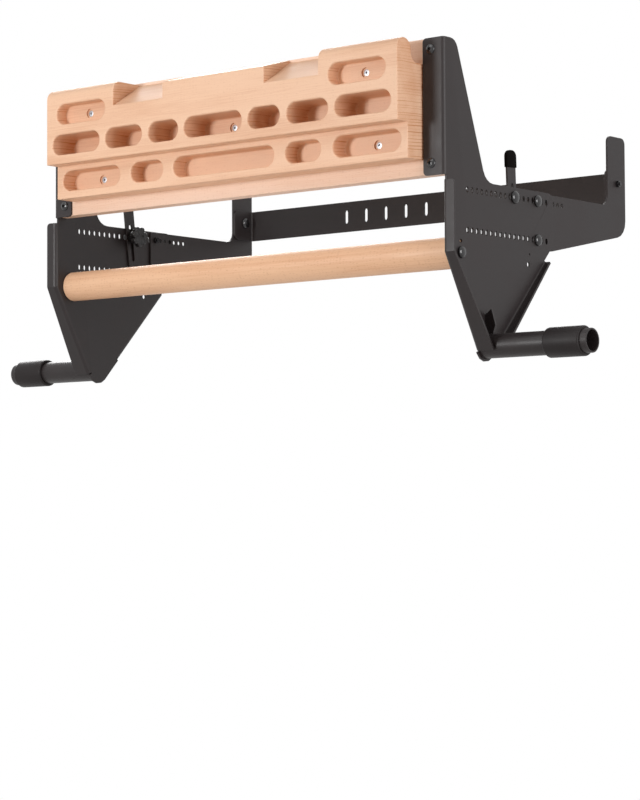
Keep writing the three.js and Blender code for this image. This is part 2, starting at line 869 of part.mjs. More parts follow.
function clampLever(leanDegrees) {
  const side = leverWidth / 2;
  const bar = alongX(outline([
    [-side, -leverFoot, leverCorner],
    [side, -leverFoot, leverCorner],
    [side, leverTop, leverCorner],
    [-side, leverTop, leverCorner],
  ]), leverFace - sheet, leverFace);
  const slotLength = leverSlotTop + leverSlotFoot;
  const opening = slot(0, (leverSlotTop - leverSlotFoot) / 2, leverSlotWidth, slotLength);
  return leaned(cut(bar, alongX(opening, leverFace - sheet - overrun, leverFace + overrun)), leanDegrees);
}

function clampCap(leanDegrees) {
  const top = leverTop + capWall;
  const inside = leverWidth / 2 + seatGap;
  const outside = inside + capWall;
  const foot = top - capLength;
  const shell = alongX(outline([
    [-outside, foot],
    [outside, foot],
    [outside, top, capCorner],
    [-outside, top, capCorner],
  ]), leverFace - sheet - seatGap - capWall, leverFace + seatGap + capWall);
  const hollow = alongX(outline([
    [-inside, foot - overrun],
    [inside, foot - overrun],
    [inside, leverTop + seatGap, leverCorner],
    [-inside, leverTop + seatGap, leverCorner],
  ]), leverFace - sheet - seatGap, leverFace + seatGap);
  return leaned(cut(shell, hollow), leanDegrees);
}

function clampBolt() {
  const length = plateOuter - knobFace + knobBoltDepth;
  return frontOutwards(domedBolt(clampHeadRadius, slotBoltRadius, length), plateOuter, clampBack, 0);
}

function clampWasher() {
  const profile = tubeProfile(slotBoltRadius + seatGap, washerRadius, washerHeight);
  return frontOutwards(turned(profile, boltSides), washerFace, clampBack, 0);
}

function clampKnob() {
  const count = knobLobes * lobeSteps;
  const rim = Array.from({ length: count }, (unused, i) => {
    const angle = 2 * Math.PI * i / count;
    const radius = knobRadius - knobRound - lobeDepth * (1 - Math.abs(Math.cos(knobLobes * angle / 2)));
    return new THREE.Vector2(radius * Math.cos(angle), radius * Math.sin(angle));
  });
  const star = new THREE.ExtrudeGeometry(new THREE.Shape(rim), {
    depth: knobHeight - 2 * knobRound,
    bevelThickness: knobRound,
    bevelSize: knobRound,
    bevelSegments: roundSteps,
  });
  star.rotateX(-Math.PI / 2).translate(0, knobHubHeight + knobRound, 0);
  const hub = rod(knobHubRadius, knobHubHeight + knobRound);
  const bore = rod(slotBoltRadius + seatGap, knobBoltDepth + seatGap + overrun).translate(0, -overrun, 0);
  const knob = cut(joined(solid(star), solid(hub)), solid(bore));
  return knob.rotate([0, 0, 90]).translate([knobFace, clampBack, 0]);
}

// The group

function toGeometry(body) {
  const mesh = body.getMesh();
  const geometry = new THREE.BufferGeometry();
  geometry.setAttribute('position', new THREE.BufferAttribute(mesh.vertProperties, mesh.numProp));
  geometry.setIndex(new THREE.BufferAttribute(mesh.triVerts, 1));
  geometry.computeVertexNormals();
  return geometry;
}

function mirrored(body) {
  const geometry = toGeometry(body).scale(-1, 1, 1);
  return solid(geometry);
}

const part = new THREE.Group();
part.position.set(0, -(handleBack + sleeveRadius), -(leverTop + capWall));

function place(name, body, look) {
  const mesh = new THREE.Mesh(toGeometry(body), new THREE.MeshStandardMaterial(look));
  mesh.name = name;
  part.add(mesh);
}

function placePair(name, body, look) {
  place(`${name}_right`, body, look);
  place(`${name}_left`, mirrored(body), look);
}

place('hangboard', hangboard(), finish.beech);
screwPlaces().forEach((screw) => place(`hangboard_screw_${screw.name}`, hangboardScrew(screw), finish.zinc));
place('backing_board', backingBoard(), finish.ply);
placePair('side_plate', sidePlate(), finish.powder);
[['top', flangeBoltHigh], ['bottom', flangeBoltLow]].forEach(([name, z]) => {
  const back = backingFront + backingThickness;
  const flangeNut = boredNut(flangeNutRadius, flangeBoltRadius).translate([flangeBoltOut, back, z]);
  placePair(`flange_bolt_${name}`, flangeBolt(z), finish.black);
  placePair(`flange_nut_${name}`, flangeNut, finish.zinc);
});

place('pull_up_bar', pullUpBar(), finish.beech);
placePair('bar_bolt', barBolt(), finish.black);
placePair('handle_tube', handleTube(), finish.powder);
placePair('handle_gusset', handleGusset(), finish.powder);
placePair('handle_sleeve', handleSleeve(), finish.rubber);

placePair('rear_arm', rearArm(), finish.powder);
[['top', 0], ['bottom', -rowSpacing]].forEach(([name, z]) => {
  const armNut = boredNut(nutRadius, slotBoltRadius).rotate([0, 0, 90]);
  placePair(`arm_bolt_${name}`, armBolt(z), finish.black);
  placePair(`arm_nut_${name}`, armNut.translate([plateInner - sheet, armBoltBack, z]), finish.black);
});
place('rear_rail', rearRail(), finish.powder);
placePair('rail_bolt', railBolt(), finish.black);
const railNut = boredNut(nutRadius, slotBoltRadius).rotate([0, 0, -90]);
placePair('rail_nut', railNut.translate([plateInner, railBoltBack, railBoltLevel]), finish.black);

placePair('clamp_bolt', clampBolt(), finish.black);
placePair('clamp_washer', clampWasher(), finish.black);
placePair('clamp_knob', clampKnob(), finish.rubber);
place('clamp_lever_right', clampLever(leanRightDegrees), finish.powder);
place('clamp_cap_right', clampCap(leanRightDegrees), finish.rubber);
place('clamp_lever_left', mirrored(clampLever(leanLeftDegrees)), finish.powder);
place('clamp_cap_left', mirrored(clampCap(leanLeftDegrees)), finish.rubber);

export default part;
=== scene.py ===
# %% [markdown]
# # A hangboard on a steel frame, dressed in Blender
#
# The object is a frame that is clamped up high, to hang and pull up from. A stepped beech
# block with routed finger pockets is bolted across its front. A round beech bar and two
# rubber-sleeved handles are below it, and two arms with a rail reach round to the back.
#
# Its solids come from a CAD program and are loaded here as a fixed frame. Every piece that
# is made below takes its place from the box of the CAD part it stands for, so nothing has
# to be fitted by eye.

# %% Load the fixed frame
import json
import math

import bmesh
import bpy
from mathutils import Matrix, Vector


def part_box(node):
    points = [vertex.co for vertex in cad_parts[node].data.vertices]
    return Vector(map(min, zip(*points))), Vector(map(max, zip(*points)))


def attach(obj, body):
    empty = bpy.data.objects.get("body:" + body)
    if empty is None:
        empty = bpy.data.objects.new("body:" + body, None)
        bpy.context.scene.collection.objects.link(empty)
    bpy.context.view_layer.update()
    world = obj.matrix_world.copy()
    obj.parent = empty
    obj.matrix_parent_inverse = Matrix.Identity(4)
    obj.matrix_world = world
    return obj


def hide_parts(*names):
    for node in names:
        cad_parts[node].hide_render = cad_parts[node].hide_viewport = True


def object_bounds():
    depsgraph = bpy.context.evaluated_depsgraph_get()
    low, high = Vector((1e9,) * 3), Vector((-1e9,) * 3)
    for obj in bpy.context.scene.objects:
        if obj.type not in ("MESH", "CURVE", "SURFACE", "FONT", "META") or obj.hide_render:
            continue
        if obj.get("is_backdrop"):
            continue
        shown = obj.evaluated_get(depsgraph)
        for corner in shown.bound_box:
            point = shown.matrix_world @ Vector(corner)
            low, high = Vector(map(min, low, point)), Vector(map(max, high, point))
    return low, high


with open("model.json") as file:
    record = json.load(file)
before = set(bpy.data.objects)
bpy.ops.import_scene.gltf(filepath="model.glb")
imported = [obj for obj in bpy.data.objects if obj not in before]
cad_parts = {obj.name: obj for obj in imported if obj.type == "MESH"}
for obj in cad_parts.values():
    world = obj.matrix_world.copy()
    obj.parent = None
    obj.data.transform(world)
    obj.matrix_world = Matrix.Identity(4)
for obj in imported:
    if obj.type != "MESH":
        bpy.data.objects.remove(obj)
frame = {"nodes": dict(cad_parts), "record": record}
cad_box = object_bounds()
print("CAD parts:", len(frame["nodes"]))

# %% [markdown]
# ## Working in millimetres
#
# Blender's unit is the metre, but a maker of such a frame thinks in millimetres. The
# shapes below are drawn in millimetres and shrunk once, when a piece is finished, so that
# the numbers in each cell can be read against a ruler.

# %% Millimetres and the CAD boxes
MM = 0.001
NEAR = 0.001  # millimetres, under which two places count as one
SIDES = {"right": 1, "left": -1}


def box_mm(node):
    """The lowest and highest corner of a CAD part, in millimetres."""
    low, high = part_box(node)
    return low / MM, high / MM


board_low, board_high = box_mm("hangboard")
print("hangboard in mm:", [round(v, 1) for v in board_high - board_low])

# %% [markdown]
# ## From a bmesh to a piece
#
# A bmesh is Blender's workbench for a mesh: operators such as spin, extrude and bevel
# shape it, and then it is written into an object. Curved steel and wood should shade
# smoothly, but a real corner has to stay crisp, so faces are smooth and every edge that
# turns by more than a chosen angle is marked sharp.

# %% Finish a mesh and seat it on its body
SMOOTH_DEGREES = 38


def shade_by_angle(mesh, degrees=SMOOTH_DEGREES):
    """Shades a mesh smoothly, apart from the edges that turn by more than the angle."""
    mesh.shade_smooth()
    mesh.set_sharp_from_angle(angle=math.radians(degrees))


def to_piece(name, bm, smooth_degrees=SMOOTH_DEGREES):
    """Writes a bmesh drawn in millimetres into a new object in metres."""
    bmesh.ops.remove_doubles(bm, verts=bm.verts, dist=NEAR)
    bmesh.ops.recalc_face_normals(bm, faces=bm.faces)
    bmesh.ops.scale(bm, vec=(MM, MM, MM), verts=bm.verts)
    mesh = bpy.data.meshes.new(name)
    bm.to_mesh(mesh)
    bm.free()
    shade_by_angle(mesh, smooth_degrees)
    piece = bpy.data.objects.new(name, mesh)
    bpy.context.scene.collection.objects.link(piece)
    return piece


def seat(piece, body, nodes, material):
    """Gives a piece its finish and its body, and hides the CAD parts that it stands for."""
    piece.data.materials.clear()
    piece.data.materials.append(material)
    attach(piece, body)
    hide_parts(*nodes)
    print(f"{piece.name}: {len(piece.data.polygons)} faces on {body}")


# %% [markdown]
# ## A wood grain group
#
# Beech has three things that the eye looks for. Growth rings run round the tree's centre,
# so they show as long lines along a plank and as flat arcs on its end. Fine fibres streak
# along the plank. Short dark dashes, the rays, are sprinkled over it. All three are
# worked out from the place of a point in the solid, so the pattern carries on round a
# corner and down into a pocket as it does in real wood. The group is built once, and
# each wooden piece places the tree's centre for itself with a Mapping node.

# %% Small helpers for node trees


def node_group(name, inputs, outputs):
    """A shader group with named sockets, and its input and output nodes."""
    tree = bpy.data.node_groups.new(name, "ShaderNodeTree")
    for label, kind, value in inputs:
        socket = tree.interface.new_socket(label, in_out="INPUT", socket_type=kind)
        if value is not None:
            socket.default_value = value
    for label, kind in outputs:
        tree.interface.new_socket(label, in_out="OUTPUT", socket_type=kind)
    return tree, tree.nodes.new("NodeGroupInput"), tree.nodes.new("NodeGroupOutput")


def wire(tree, socket, value):
    """Plugs a socket in, or writes a plain value on it."""
    if isinstance(value, bpy.types.NodeSocket):
        tree.links.new(value, socket)
    else:
        socket.default_value = value


def arithmetic(tree, operation, *values):
    """One Math node on the given sockets or numbers."""
    node = tree.nodes.new("ShaderNodeMath")
    node.operation = operation
    for socket, value in zip(node.inputs, values):
        wire(tree, socket, value)
    return node.outputs["Value"]


def times(tree, first, second):
    """Two values multiplied."""
    return arithmetic(tree, "MULTIPLY", first, second)


def plus(tree, first, second):
    """Two values added."""
    return arithmetic(tree, "ADD", first, second)


def vector_step(tree, operation, *values):
    """One Vector Math node on the given sockets or vectors."""
    node = tree.nodes.new("ShaderNodeVectorMath")
    node.operation = operation
    for socket, value in zip(node.inputs, values):
        wire(tree, socket, value)
    return node.outputs["Value" if operation == "LENGTH" else "Vector"]


def noise(tree, vector, scale, detail=2.0, rough=0.5):
    """The grey value of a Noise texture."""
    node = tree.nodes.new("ShaderNodeTexNoise")
    wire(tree, node.inputs["Vector"], vector)
    wire(tree, node.inputs["Scale"], scale)
    node.inputs["Detail"].default_value = detail
    node.inputs["Roughness"].default_value = rough
    return node.outputs["Fac"]


def ramp(tree, value, low, high, to_low=0.0, to_high=1.0, smooth=True):
    """Takes a value from one range to another, easing in and out if smooth."""
    node = tree.nodes.new("ShaderNodeMapRange")
    node.interpolation_type = "SMOOTHSTEP" if smooth else "LINEAR"
    for socket, number in zip(node.inputs, (value, low, high, to_low, to_high)):
        wire(tree, socket, number)
    return node.outputs["Result"]


def blend_colours(tree, factor, first, second):
    """Mixes two colours by a factor."""
    node = tree.nodes.new("ShaderNodeMix")
    node.data_type = "RGBA"
    wire(tree, node.inputs["Factor"], factor)
    wire(tree, node.inputs["A"], first)
    wire(tree, node.inputs["B"], second)
    return node.outputs["Result"]


print("node helpers ready")

# %% Sizes and ranges of the grain
ALONG_THE_GRAIN = (0.07, 1.0, 1.0)
ACROSS_THE_GRAIN = (0.0, 1.0, 1.0)
SWAY_SCALE = 7.0
SWAY_REACH = 0.009
UNEVEN_SCALE = 130.0
UNEVEN_REACH = 0.006
YEAR_SCALE = 0.73
FIBRE_SCALE = (22.0, 1500.0, 1500.0)
RAY_SCALE = (190.0, 1250.0, 1250.0)
TONE_SCALE = (3.0, 26.0, 26.0)
PATCH_SCALE = (2.0, 17.0, 17.0)
END_SHADE = 0.26
RAY_RELIEF = 0.5

# A range gives what a value runs from and to, and then what it becomes, if not 0 to 1.
LATE_WOOD = (0.66, 0.9)
WINTER = (0.93, 1.0, 1.0, 0.0)
GOOD_YEAR = (0.35, 0.6, 0.25, 1.0)
PATCHY = (0.35, 0.55, 0.45, 1.0)
RAY_SIZE = (0.16, 0.42, 1.0, 0.0)
RAY_CHANCE = (0.5, 0.85)
END_TURN = (0.3, 0.85)
TONE_SHADE = (0.3, 0.75, -0.12, 0.3)
FIBRE_SHADE = (0.25, 0.75, -0.13, 0.2)
print("the rings sway by up to", SWAY_REACH / MM, "mm")

# %% The grain group and its sockets
grain, grain_in, grain_out = node_group(
    "Beech grain",
    [
        ("Vector", "NodeSocketVector", None),
        ("Pale", "NodeSocketColor", (0.8, 0.6, 0.42, 1)),
        ("Deep", "NodeSocketColor", (0.6, 0.38, 0.22, 1)),
        ("Ray", "NodeSocketColor", (0.45, 0.26, 0.14, 1)),
        ("Ring Width", "NodeSocketFloat", 0.005),
        ("Figure", "NodeSocketFloat", 0.5),
        ("End Figure", "NodeSocketFloat", 0.9),
        ("Rays", "NodeSocketFloat", 0.4),
    ],
    [
        ("Color", "NodeSocketColor"),
        ("Height", "NodeSocketFloat"),
        ("Gloss", "NodeSocketFloat"),
    ],
)
place = grain_in.outputs["Vector"]


def stretched(scale):
    """The place in the wood, scaled along and across the grain."""
    return vector_step(grain, "MULTIPLY", place, scale)


print("grain inputs:", [socket.name for socket in grain_in.outputs if socket.name])

# %% Growth rings
sway = times(grain, noise(grain, stretched(ALONG_THE_GRAIN), SWAY_SCALE, 3.0), SWAY_REACH)
from_centre = vector_step(grain, "LENGTH", stretched(ACROSS_THE_GRAIN))
uneven = times(grain, noise(grain, from_centre, UNEVEN_SCALE, 1.0), UNEVEN_REACH)
distance = plus(grain, plus(grain, from_centre, sway), uneven)
year = arithmetic(grain, "DIVIDE", distance, grain_in.outputs["Ring Width"])
season = arithmetic(grain, "FRACT", year)
ring = times(grain, ramp(grain, season, *LATE_WOOD), ramp(grain, season, *WINTER))
good_year = noise(grain, arithmetic(grain, "FLOOR", year), YEAR_SCALE, 0.0)
ring = times(grain, ring, ramp(grain, good_year, *GOOD_YEAR))
patch = noise(grain, stretched(PATCH_SCALE), 1.0, 1.0)
ring = times(grain, ring, ramp(grain, patch, *PATCHY))
print("nodes for the rings:", len(grain.nodes))

# %% Fibres and rays
fibre = noise(grain, stretched(FIBRE_SCALE), 1.0, 3.0, 0.6)
tone = noise(grain, stretched(TONE_SCALE), 1.0, 2.0)
rays = grain.nodes.new("ShaderNodeTexVoronoi")
rays.inputs["Scale"].default_value = 1.0
wire(grain, rays.inputs["Vector"], stretched(RAY_SCALE))
chance = grain.nodes.new("ShaderNodeSeparateColor")
wire(grain, chance.inputs["Color"], rays.outputs["Color"])
dash = ramp(grain, rays.outputs["Distance"], *RAY_SIZE)
dash = times(grain, dash, ramp(grain, chance.outputs["Red"], *RAY_CHANCE))
print("nodes with fibres and rays:", len(grain.nodes))

# %% Colour and relief of the grain
facing = grain.nodes.new("ShaderNodeSeparateXYZ")
surface_normal = grain.nodes.new("ShaderNodeTexCoord")
wire(grain, facing.inputs["Vector"], surface_normal.outputs["Normal"])
end_grain = ramp(grain, arithmetic(grain, "ABSOLUTE", facing.outputs["X"]), *END_TURN)
figure = ramp(
    grain, end_grain, 0.0, 1.0,
    grain_in.outputs["Figure"], grain_in.outputs["End Figure"], smooth=False,
)
shade = plus(grain, times(grain, ring, figure), times(grain, end_grain, END_SHADE))
shade = plus(grain, shade, ramp(grain, tone, *TONE_SHADE))
shade = plus(grain, shade, ramp(grain, fibre, *FIBRE_SHADE))
colour = blend_colours(grain, shade, grain_in.outputs["Pale"], grain_in.outputs["Deep"])
ray_share = times(grain, dash, grain_in.outputs["Rays"])
ray_share = times(grain, ray_share, arithmetic(grain, "SUBTRACT", 1.0, end_grain))
colour = blend_colours(grain, ray_share, colour, grain_in.outputs["Ray"])
height = arithmetic(grain, "SUBTRACT", fibre, times(grain, dash, RAY_RELIEF))
wire(grain, grain_out.inputs["Color"], colour)
wire(grain, grain_out.inputs["Height"], height)
wire(grain, grain_out.inputs["Gloss"], fibre)
print("grain group:", len(grain.nodes), "nodes")

# %% [markdown]
# ## A surface group for paint, rubber and plastic
#
# Powder coat is sprayed on as dust and baked, which leaves a very fine orange-peel skin.
# Rubber and moulded plastic have a fine skin of their own. One group makes all of them
# from two sizes of noise, and a third, large and faint, for the uneven shine that hands
# and packing leave. Each finish sets its own size and strength.

# %% Fine skin
COARSER = 0.3
SPREAD = (0.35, 0.7)

skin, skin_in, skin_out = node_group(
    "Fine skin",
    [
        ("Vector", "NodeSocketVector", None),
        ("Grain Scale", "NodeSocketFloat", 2200.0),
        ("Coarse Share", "NodeSocketFloat", 0.4),
        ("Wear Scale", "NodeSocketFloat", 14.0),
    ],
    [
        ("Height", "NodeSocketFloat"),
        ("Speckle", "NodeSocketFloat"),
        ("Wear", "NodeSocketFloat"),
    ],
)
skin_place = skin_in.outputs["Vector"]
skin_scale = skin_in.outputs["Grain Scale"]
fine = noise(skin, skin_place, skin_scale, 2.0)
coarse = noise(skin, skin_place, times(skin, skin_scale, COARSER), 2.0)
coarse_part = times(skin, coarse, skin_in.outputs["Coarse Share"])
wear = noise(skin, skin_place, skin_in.outputs["Wear Scale"], 5.0, 0.62)
wire(skin, skin_out.inputs["Height"], plus(skin, fine, coarse_part))
wire(skin, skin_out.inputs["Speckle"], ramp(skin, fine, *SPREAD))
wire(skin, skin_out.inputs["Wear"], ramp(skin, wear, *SPREAD))
print("skin group:", len(skin.nodes), "nodes")

# %% [markdown]
# ## The finishes
#
# A finish is one Principled shader fed by a group. The colours are the ones that the
# photograph shows in plain light: a pale pinkish beech with an oiled feel, charcoal powder
# coat, glossier black on the bolts, satin rubber on the grips and bright zinc screws.

# %% Start a finish


def srgb(red, green, blue):
    """A colour as a paint program writes it, turned into Blender's linear one."""
    linear = []
    for c in (red, green, blue):
        linear.append(((c / 255 + 0.055) / 1.055) ** 2.4 if c > 10 else c / 255 / 12.92)
    return (*linear, 1.0)


def start_finish(name, group, offset=(0, 0, 0)):
    """A material whose group reads Object coordinates, moved by offset in metres."""
    material = bpy.data.materials.new(name)
    material.use_nodes = True
    tree = material.node_tree
    shader = tree.nodes["Principled BSDF"]
    coordinates = tree.nodes.new("ShaderNodeTexCoord")
    mapping = tree.nodes.new("ShaderNodeMapping")
    mapping.inputs["Location"].default_value = offset
    tree.links.new(coordinates.outputs["Object"], mapping.inputs["Vector"])
    instance = tree.nodes.new("ShaderNodeGroup")
    instance.node_tree = group
    tree.links.new(mapping.outputs["Vector"], instance.inputs["Vector"])
    return material, tree, shader, instance


def add_bump(tree, shader, height, strength, depth):
    """Feeds a height in metres to the shader's normal."""
    bump = tree.nodes.new("ShaderNodeBump")
    bump.inputs["Strength"].default_value = strength
    bump.inputs["Distance"].default_value = depth
    tree.links.new(height, bump.inputs["Height"])
    tree.links.new(bump.outputs["Normal"], shader.inputs["Normal"])


print("charcoal as Blender sees it:", [round(v, 3) for v in srgb(40, 38, 42)])

# %% Wood finishes
RAY_BROWN = srgb(176, 118, 78)
OILED = (0.2, 0.8, 0.42, 0.6)
PORE_BUMP = (0.25, 0.0001)


def beech_finish(name, centre, pale, deep, ring_width, figure, end_figure, rays):
    """Beech whose growth rings run round a centre line along X."""
    material, tree, shader, wood = start_finish(name, grain, [-c for c in centre])
    settings = {
        "Pale": pale,
        "Deep": deep,
        "Ray": RAY_BROWN,
        "Ring Width": ring_width,
        "Figure": figure,
        "End Figure": end_figure,
        "Rays": rays,
    }
    for label, value in settings.items():
        wood.inputs[label].default_value = value
    tree.links.new(wood.outputs["Color"], shader.inputs["Base Color"])
    tree.links.new(ramp(tree, wood.outputs["Gloss"], *OILED), shader.inputs["Roughness"])
    add_bump(tree, shader, wood.outputs["Height"], *PORE_BUMP)
    return material


board_wood = beech_finish(
    "Hangboard beech", (0, -0.09, -0.52), srgb(240, 203, 174), srgb(200, 138, 96),
    ring_width=0.004, figure=0.1, end_figure=1.0, rays=0.2,
)
bar_wood = beech_finish(
    "Bar beech", (0.45, -0.05, -0.165), srgb(238, 198, 164), srgb(206, 152, 112),
    ring_width=0.0045, figure=0.25, end_figure=0.6, rays=0.45,
)
backing_wood = beech_finish(
    "Backing beech", (0, 0.1, -0.4), srgb(249, 222, 203), srgb(226, 182, 148),
    ring_width=0.0055, figure=0.2, end_figure=0.6, rays=0.25,
)
print("wood finishes:", board_wood.name, bar_wood.name, backing_wood.name)

# %% Paint, rubber, plastic and zinc
COAT_ROUGHNESS = 0.15


def skin_finish(
    name, colour, worn_colour, grain_scale, rough, bump, metallic=0.0, coat=0.0, specular=0.5
):
    """A finish from the fine skin group.

    rough is its least and greatest roughness, and bump its strength and depth in metres.
    """
    material, tree, shader, surface = start_finish(name, skin)
    surface.inputs["Grain Scale"].default_value = grain_scale
    shader.inputs["Metallic"].default_value = metallic
    shader.inputs["Specular IOR Level"].default_value = specular
    shader.inputs["Coat Weight"].default_value = coat
    shader.inputs["Coat Roughness"].default_value = COAT_ROUGHNESS
    half_wear = times(tree, surface.outputs["Wear"], 0.5)
    tint = plus(tree, half_wear, times(tree, surface.outputs["Speckle"], 0.5))
    tree.links.new(blend_colours(tree, tint, colour, worn_colour), shader.inputs["Base Color"])
    tree.links.new(ramp(tree, tint, 0.0, 1.0, *rough), shader.inputs["Roughness"])
    add_bump(tree, shader, surface.outputs["Height"], *bump)
    return material


powder = skin_finish(
    "Charcoal powder coat", srgb(31, 26, 27), srgb(43, 37, 38), 1500.0,
    rough=(0.4, 0.54), bump=(0.3, 0.00012), specular=0.38,
)
bolt_black = skin_finish(
    "Glossy bolt black", srgb(18, 17, 19), srgb(27, 26, 29), 2600.0,
    rough=(0.16, 0.28), bump=(0.05, 0.00005), coat=0.25,
)
sleeve_rubber = skin_finish(
    "Satin sleeve rubber", srgb(26, 22, 23), srgb(37, 32, 33), 1900.0,
    rough=(0.46, 0.62), bump=(0.35, 0.00015), specular=0.24,
)
cap_rubber = skin_finish(
    "Cap rubber", srgb(9, 7, 7), srgb(15, 12, 11), 2100.0,
    rough=(0.55, 0.75), bump=(0.3, 0.0001), specular=0.03,
)
knob_plastic = skin_finish(
    "Knob plastic", srgb(20, 18, 19), srgb(30, 27, 28), 1700.0,
    rough=(0.24, 0.38), bump=(0.2, 0.00008), specular=0.45,
)
zinc = skin_finish(
    "Bright zinc", srgb(196, 197, 200), srgb(172, 173, 178), 2400.0,
    rough=(0.4, 0.55), bump=(0.08, 0.00005), metallic=1.0,
)
print("six more finishes ready")

# %% [markdown]
# ## The hangboard: one block, many cuts
#
# On the real object this is a thick beech block, milled to a stepped outline and then
# routed. It could be pushed out of a grid by hand, but a router works by cutting, and so
# does this cell: rounded outlines are extruded into a middle and two end blocks, these
# are united, and the cutters are taken away. Blender's Boolean modifier does the cuts and
# is applied at once, so that the piece ends as one plain closed mesh.

# %% Extrude an outline and carve with a cutter


def picked(geom, kind):
    """The vertices, edges or faces among what an operator made."""
    return [item for item in geom if isinstance(item, kind)]


def ease(bm, geom, radius, segments, affect="EDGES", **more):
    """Bevels edges or vertices into a round of the given radius."""
    bmesh.ops.bevel(
        bm, geom=geom, offset=radius, offset_type="OFFSET", segments=segments,
        profile=0.5, affect=affect, material=-1, **more,
    )


def round_corners(bm, verts, radii, segments):
    """Rounds chosen corners of a flat face by bevelling its vertices."""
    for vert, radius in zip(verts, radii):
        if radius:
            ease(bm, [vert], radius, segments, "VERTICES")


def push(bm, faces, direction, keep=True):
    """Extrudes faces and moves the new ones, which are returned."""
    made = bmesh.ops.extrude_face_region(bm, geom=faces)["geom"]
    bmesh.ops.translate(bm, vec=direction, verts=picked(made, bmesh.types.BMVert))
    if not keep:
        bmesh.ops.delete(bm, geom=faces, context="FACES")
    return picked(made, bmesh.types.BMFace)


def extrude_outline(corners, radii, direction, segments=8):
    """One face through the corners, its corners rounded, pushed along direction."""
    bm = bmesh.new()
    verts = [bm.verts.new(corner) for corner in corners]
    bm.faces.new(verts)
    round_corners(bm, verts, radii, segments)
    push(bm, bm.faces[:], direction)
    return bm


def apply_modifiers(piece):
    """Writes what the modifiers show into the mesh itself."""
    shown = piece.evaluated_get(bpy.context.evaluated_depsgraph_get())
    mesh = bpy.data.meshes.new_from_object(shown)
    piece.modifiers.clear()
    piece.data = mesh


def carve(piece, cutters, operation="DIFFERENCE"):
    """Cuts, joins or intersects a piece with others, which are used up."""
    for cutter in cutters:
        boolean = piece.modifiers.new("carve", "BOOLEAN")
        boolean.operation = operation
        boolean.solver = "MANIFOLD"
        boolean.object = cutter
        apply_modifiers(piece)
        bpy.data.objects.remove(cutter)


print("outline and carving helpers ready")

# %% Outlines of the stepped block
STEP_DEPTH = 20.0
STEP_RISE = 44.4
MIDDLE_RISE = 133.9
END_LENGTH = 124.0
OUTLINE_SEGMENTS = 14
OVER = 10.0  # how far a cutter runs past the wood
LAP = 0.05  # how far two blocks that are united lie in each other

face, back = board_low.y, board_high.y
foot, end = board_low.z, board_high.x
step_face = face + STEP_DEPTH
step_level = foot + STEP_RISE
end_inner = end - END_LENGTH


def block_piece(name, upper, upper_radii, start, stop):
    """A length of the stepped outline. upper lists its top corners from back to front."""
    corners = [(step_face, step_level), (step_face, foot), (back, foot), *upper, (face, step_level)]
    radii = [0.0, 0.0, 0.0, *upper_radii, 0.0]
    outline = [(start, y, z) for y, z in corners]
    return to_piece(name, extrude_outline(outline, radii, (stop - start, 0, 0), OUTLINE_SEGMENTS))


middle_top = [(back, board_high.z), (face, foot + MIDDLE_RISE)]
block = block_piece("routed_hangboard", middle_top, [0.0, 0.0], -end_inner - LAP, end_inner + LAP)
print("middle block faces:", len(block.data.polygons))

# %% [markdown]
# Between the middle and each end, a sloper is milled away as a wedge. Each end block
# carries a jug: a lip with a fully round top and a groove behind it that is open at the
# board's end. Towards the middle a wall of full depth closes the groove. Lip and wall are
# two lengths of the same outline with different tops, so both come from one function.

# %% Slopers
SLOPER_START = 87.0
SLOPER_FRONT = 112.7
SLOPER_BACK = 145.0
SLOPER_RUN = 51.0
ABOVE_THE_WOOD = 180.0

slope = (SLOPER_BACK - SLOPER_FRONT) / SLOPER_RUN
sloper = [
    (face - OVER, foot + SLOPER_FRONT - OVER * slope),
    (back + OVER, foot + SLOPER_BACK + OVER * slope),
    (back + OVER, foot + ABOVE_THE_WOOD),
    (face - OVER, foot + ABOVE_THE_WOOD),
]
for sign in SIDES.values():
    corners = [(SLOPER_START * sign, y, z) for y, z in sloper]
    sloper_length = end_inner - SLOPER_START + OVER
    sloper_bm = extrude_outline(corners, [0] * 4, (sloper_length * sign, 0, 0))
    carve(block, [to_piece("sloper", sloper_bm)])
print("sloper tilt in degrees:", round(math.degrees(math.atan(slope)), 1))

# %% End blocks with their jugs
LIP_THICKNESS = 28.0
LIP_ROUND = 13.9
GROOVE_FILLET = 12.0
WALL_THICKNESS = 10.0
CREST_RISE = 146.3
GROOVE_RISE = 118.2

lip_back = face + LIP_THICKNESS
crest = foot + CREST_RISE
groove_floor = foot + GROOVE_RISE
lip_top = [(back, groove_floor), (lip_back, groove_floor), (lip_back, crest), (face, crest)]
lip_radii = [0.0, GROOVE_FILLET, LIP_ROUND, LIP_ROUND]
wall_top = [(back, crest), (face, crest)]
for sign in SIDES.values():
    inner, outer = end_inner * sign, end * sign
    wall_end = inner + WALL_THICKNESS * sign
    wall = block_piece("jug_wall", wall_top, [0.0, LIP_ROUND], inner, wall_end + LAP * sign)
    lip = block_piece("jug_lip", lip_top, lip_radii, wall_end, outer)
    carve(block, [wall, lip], "UNION")
print("stepped block faces:", len(block.data.polygons))

# %% [markdown]
# A milled block is sanded, so none of its edges is knife-sharp. The edges that turn by more
# than 40 degrees are picked out and bevelled before the pockets come, because a bevel
# needs room on both sides and a pocket brings its own rounding. The back lies flat on the
# board behind it and stays as it is.

# %% Sand the edges
SANDED_ROUND = 1.2
SANDED_ABOVE = math.radians(40)
FLAT_WITHIN = math.radians(0.5)
BACK_MARGIN = 0.5

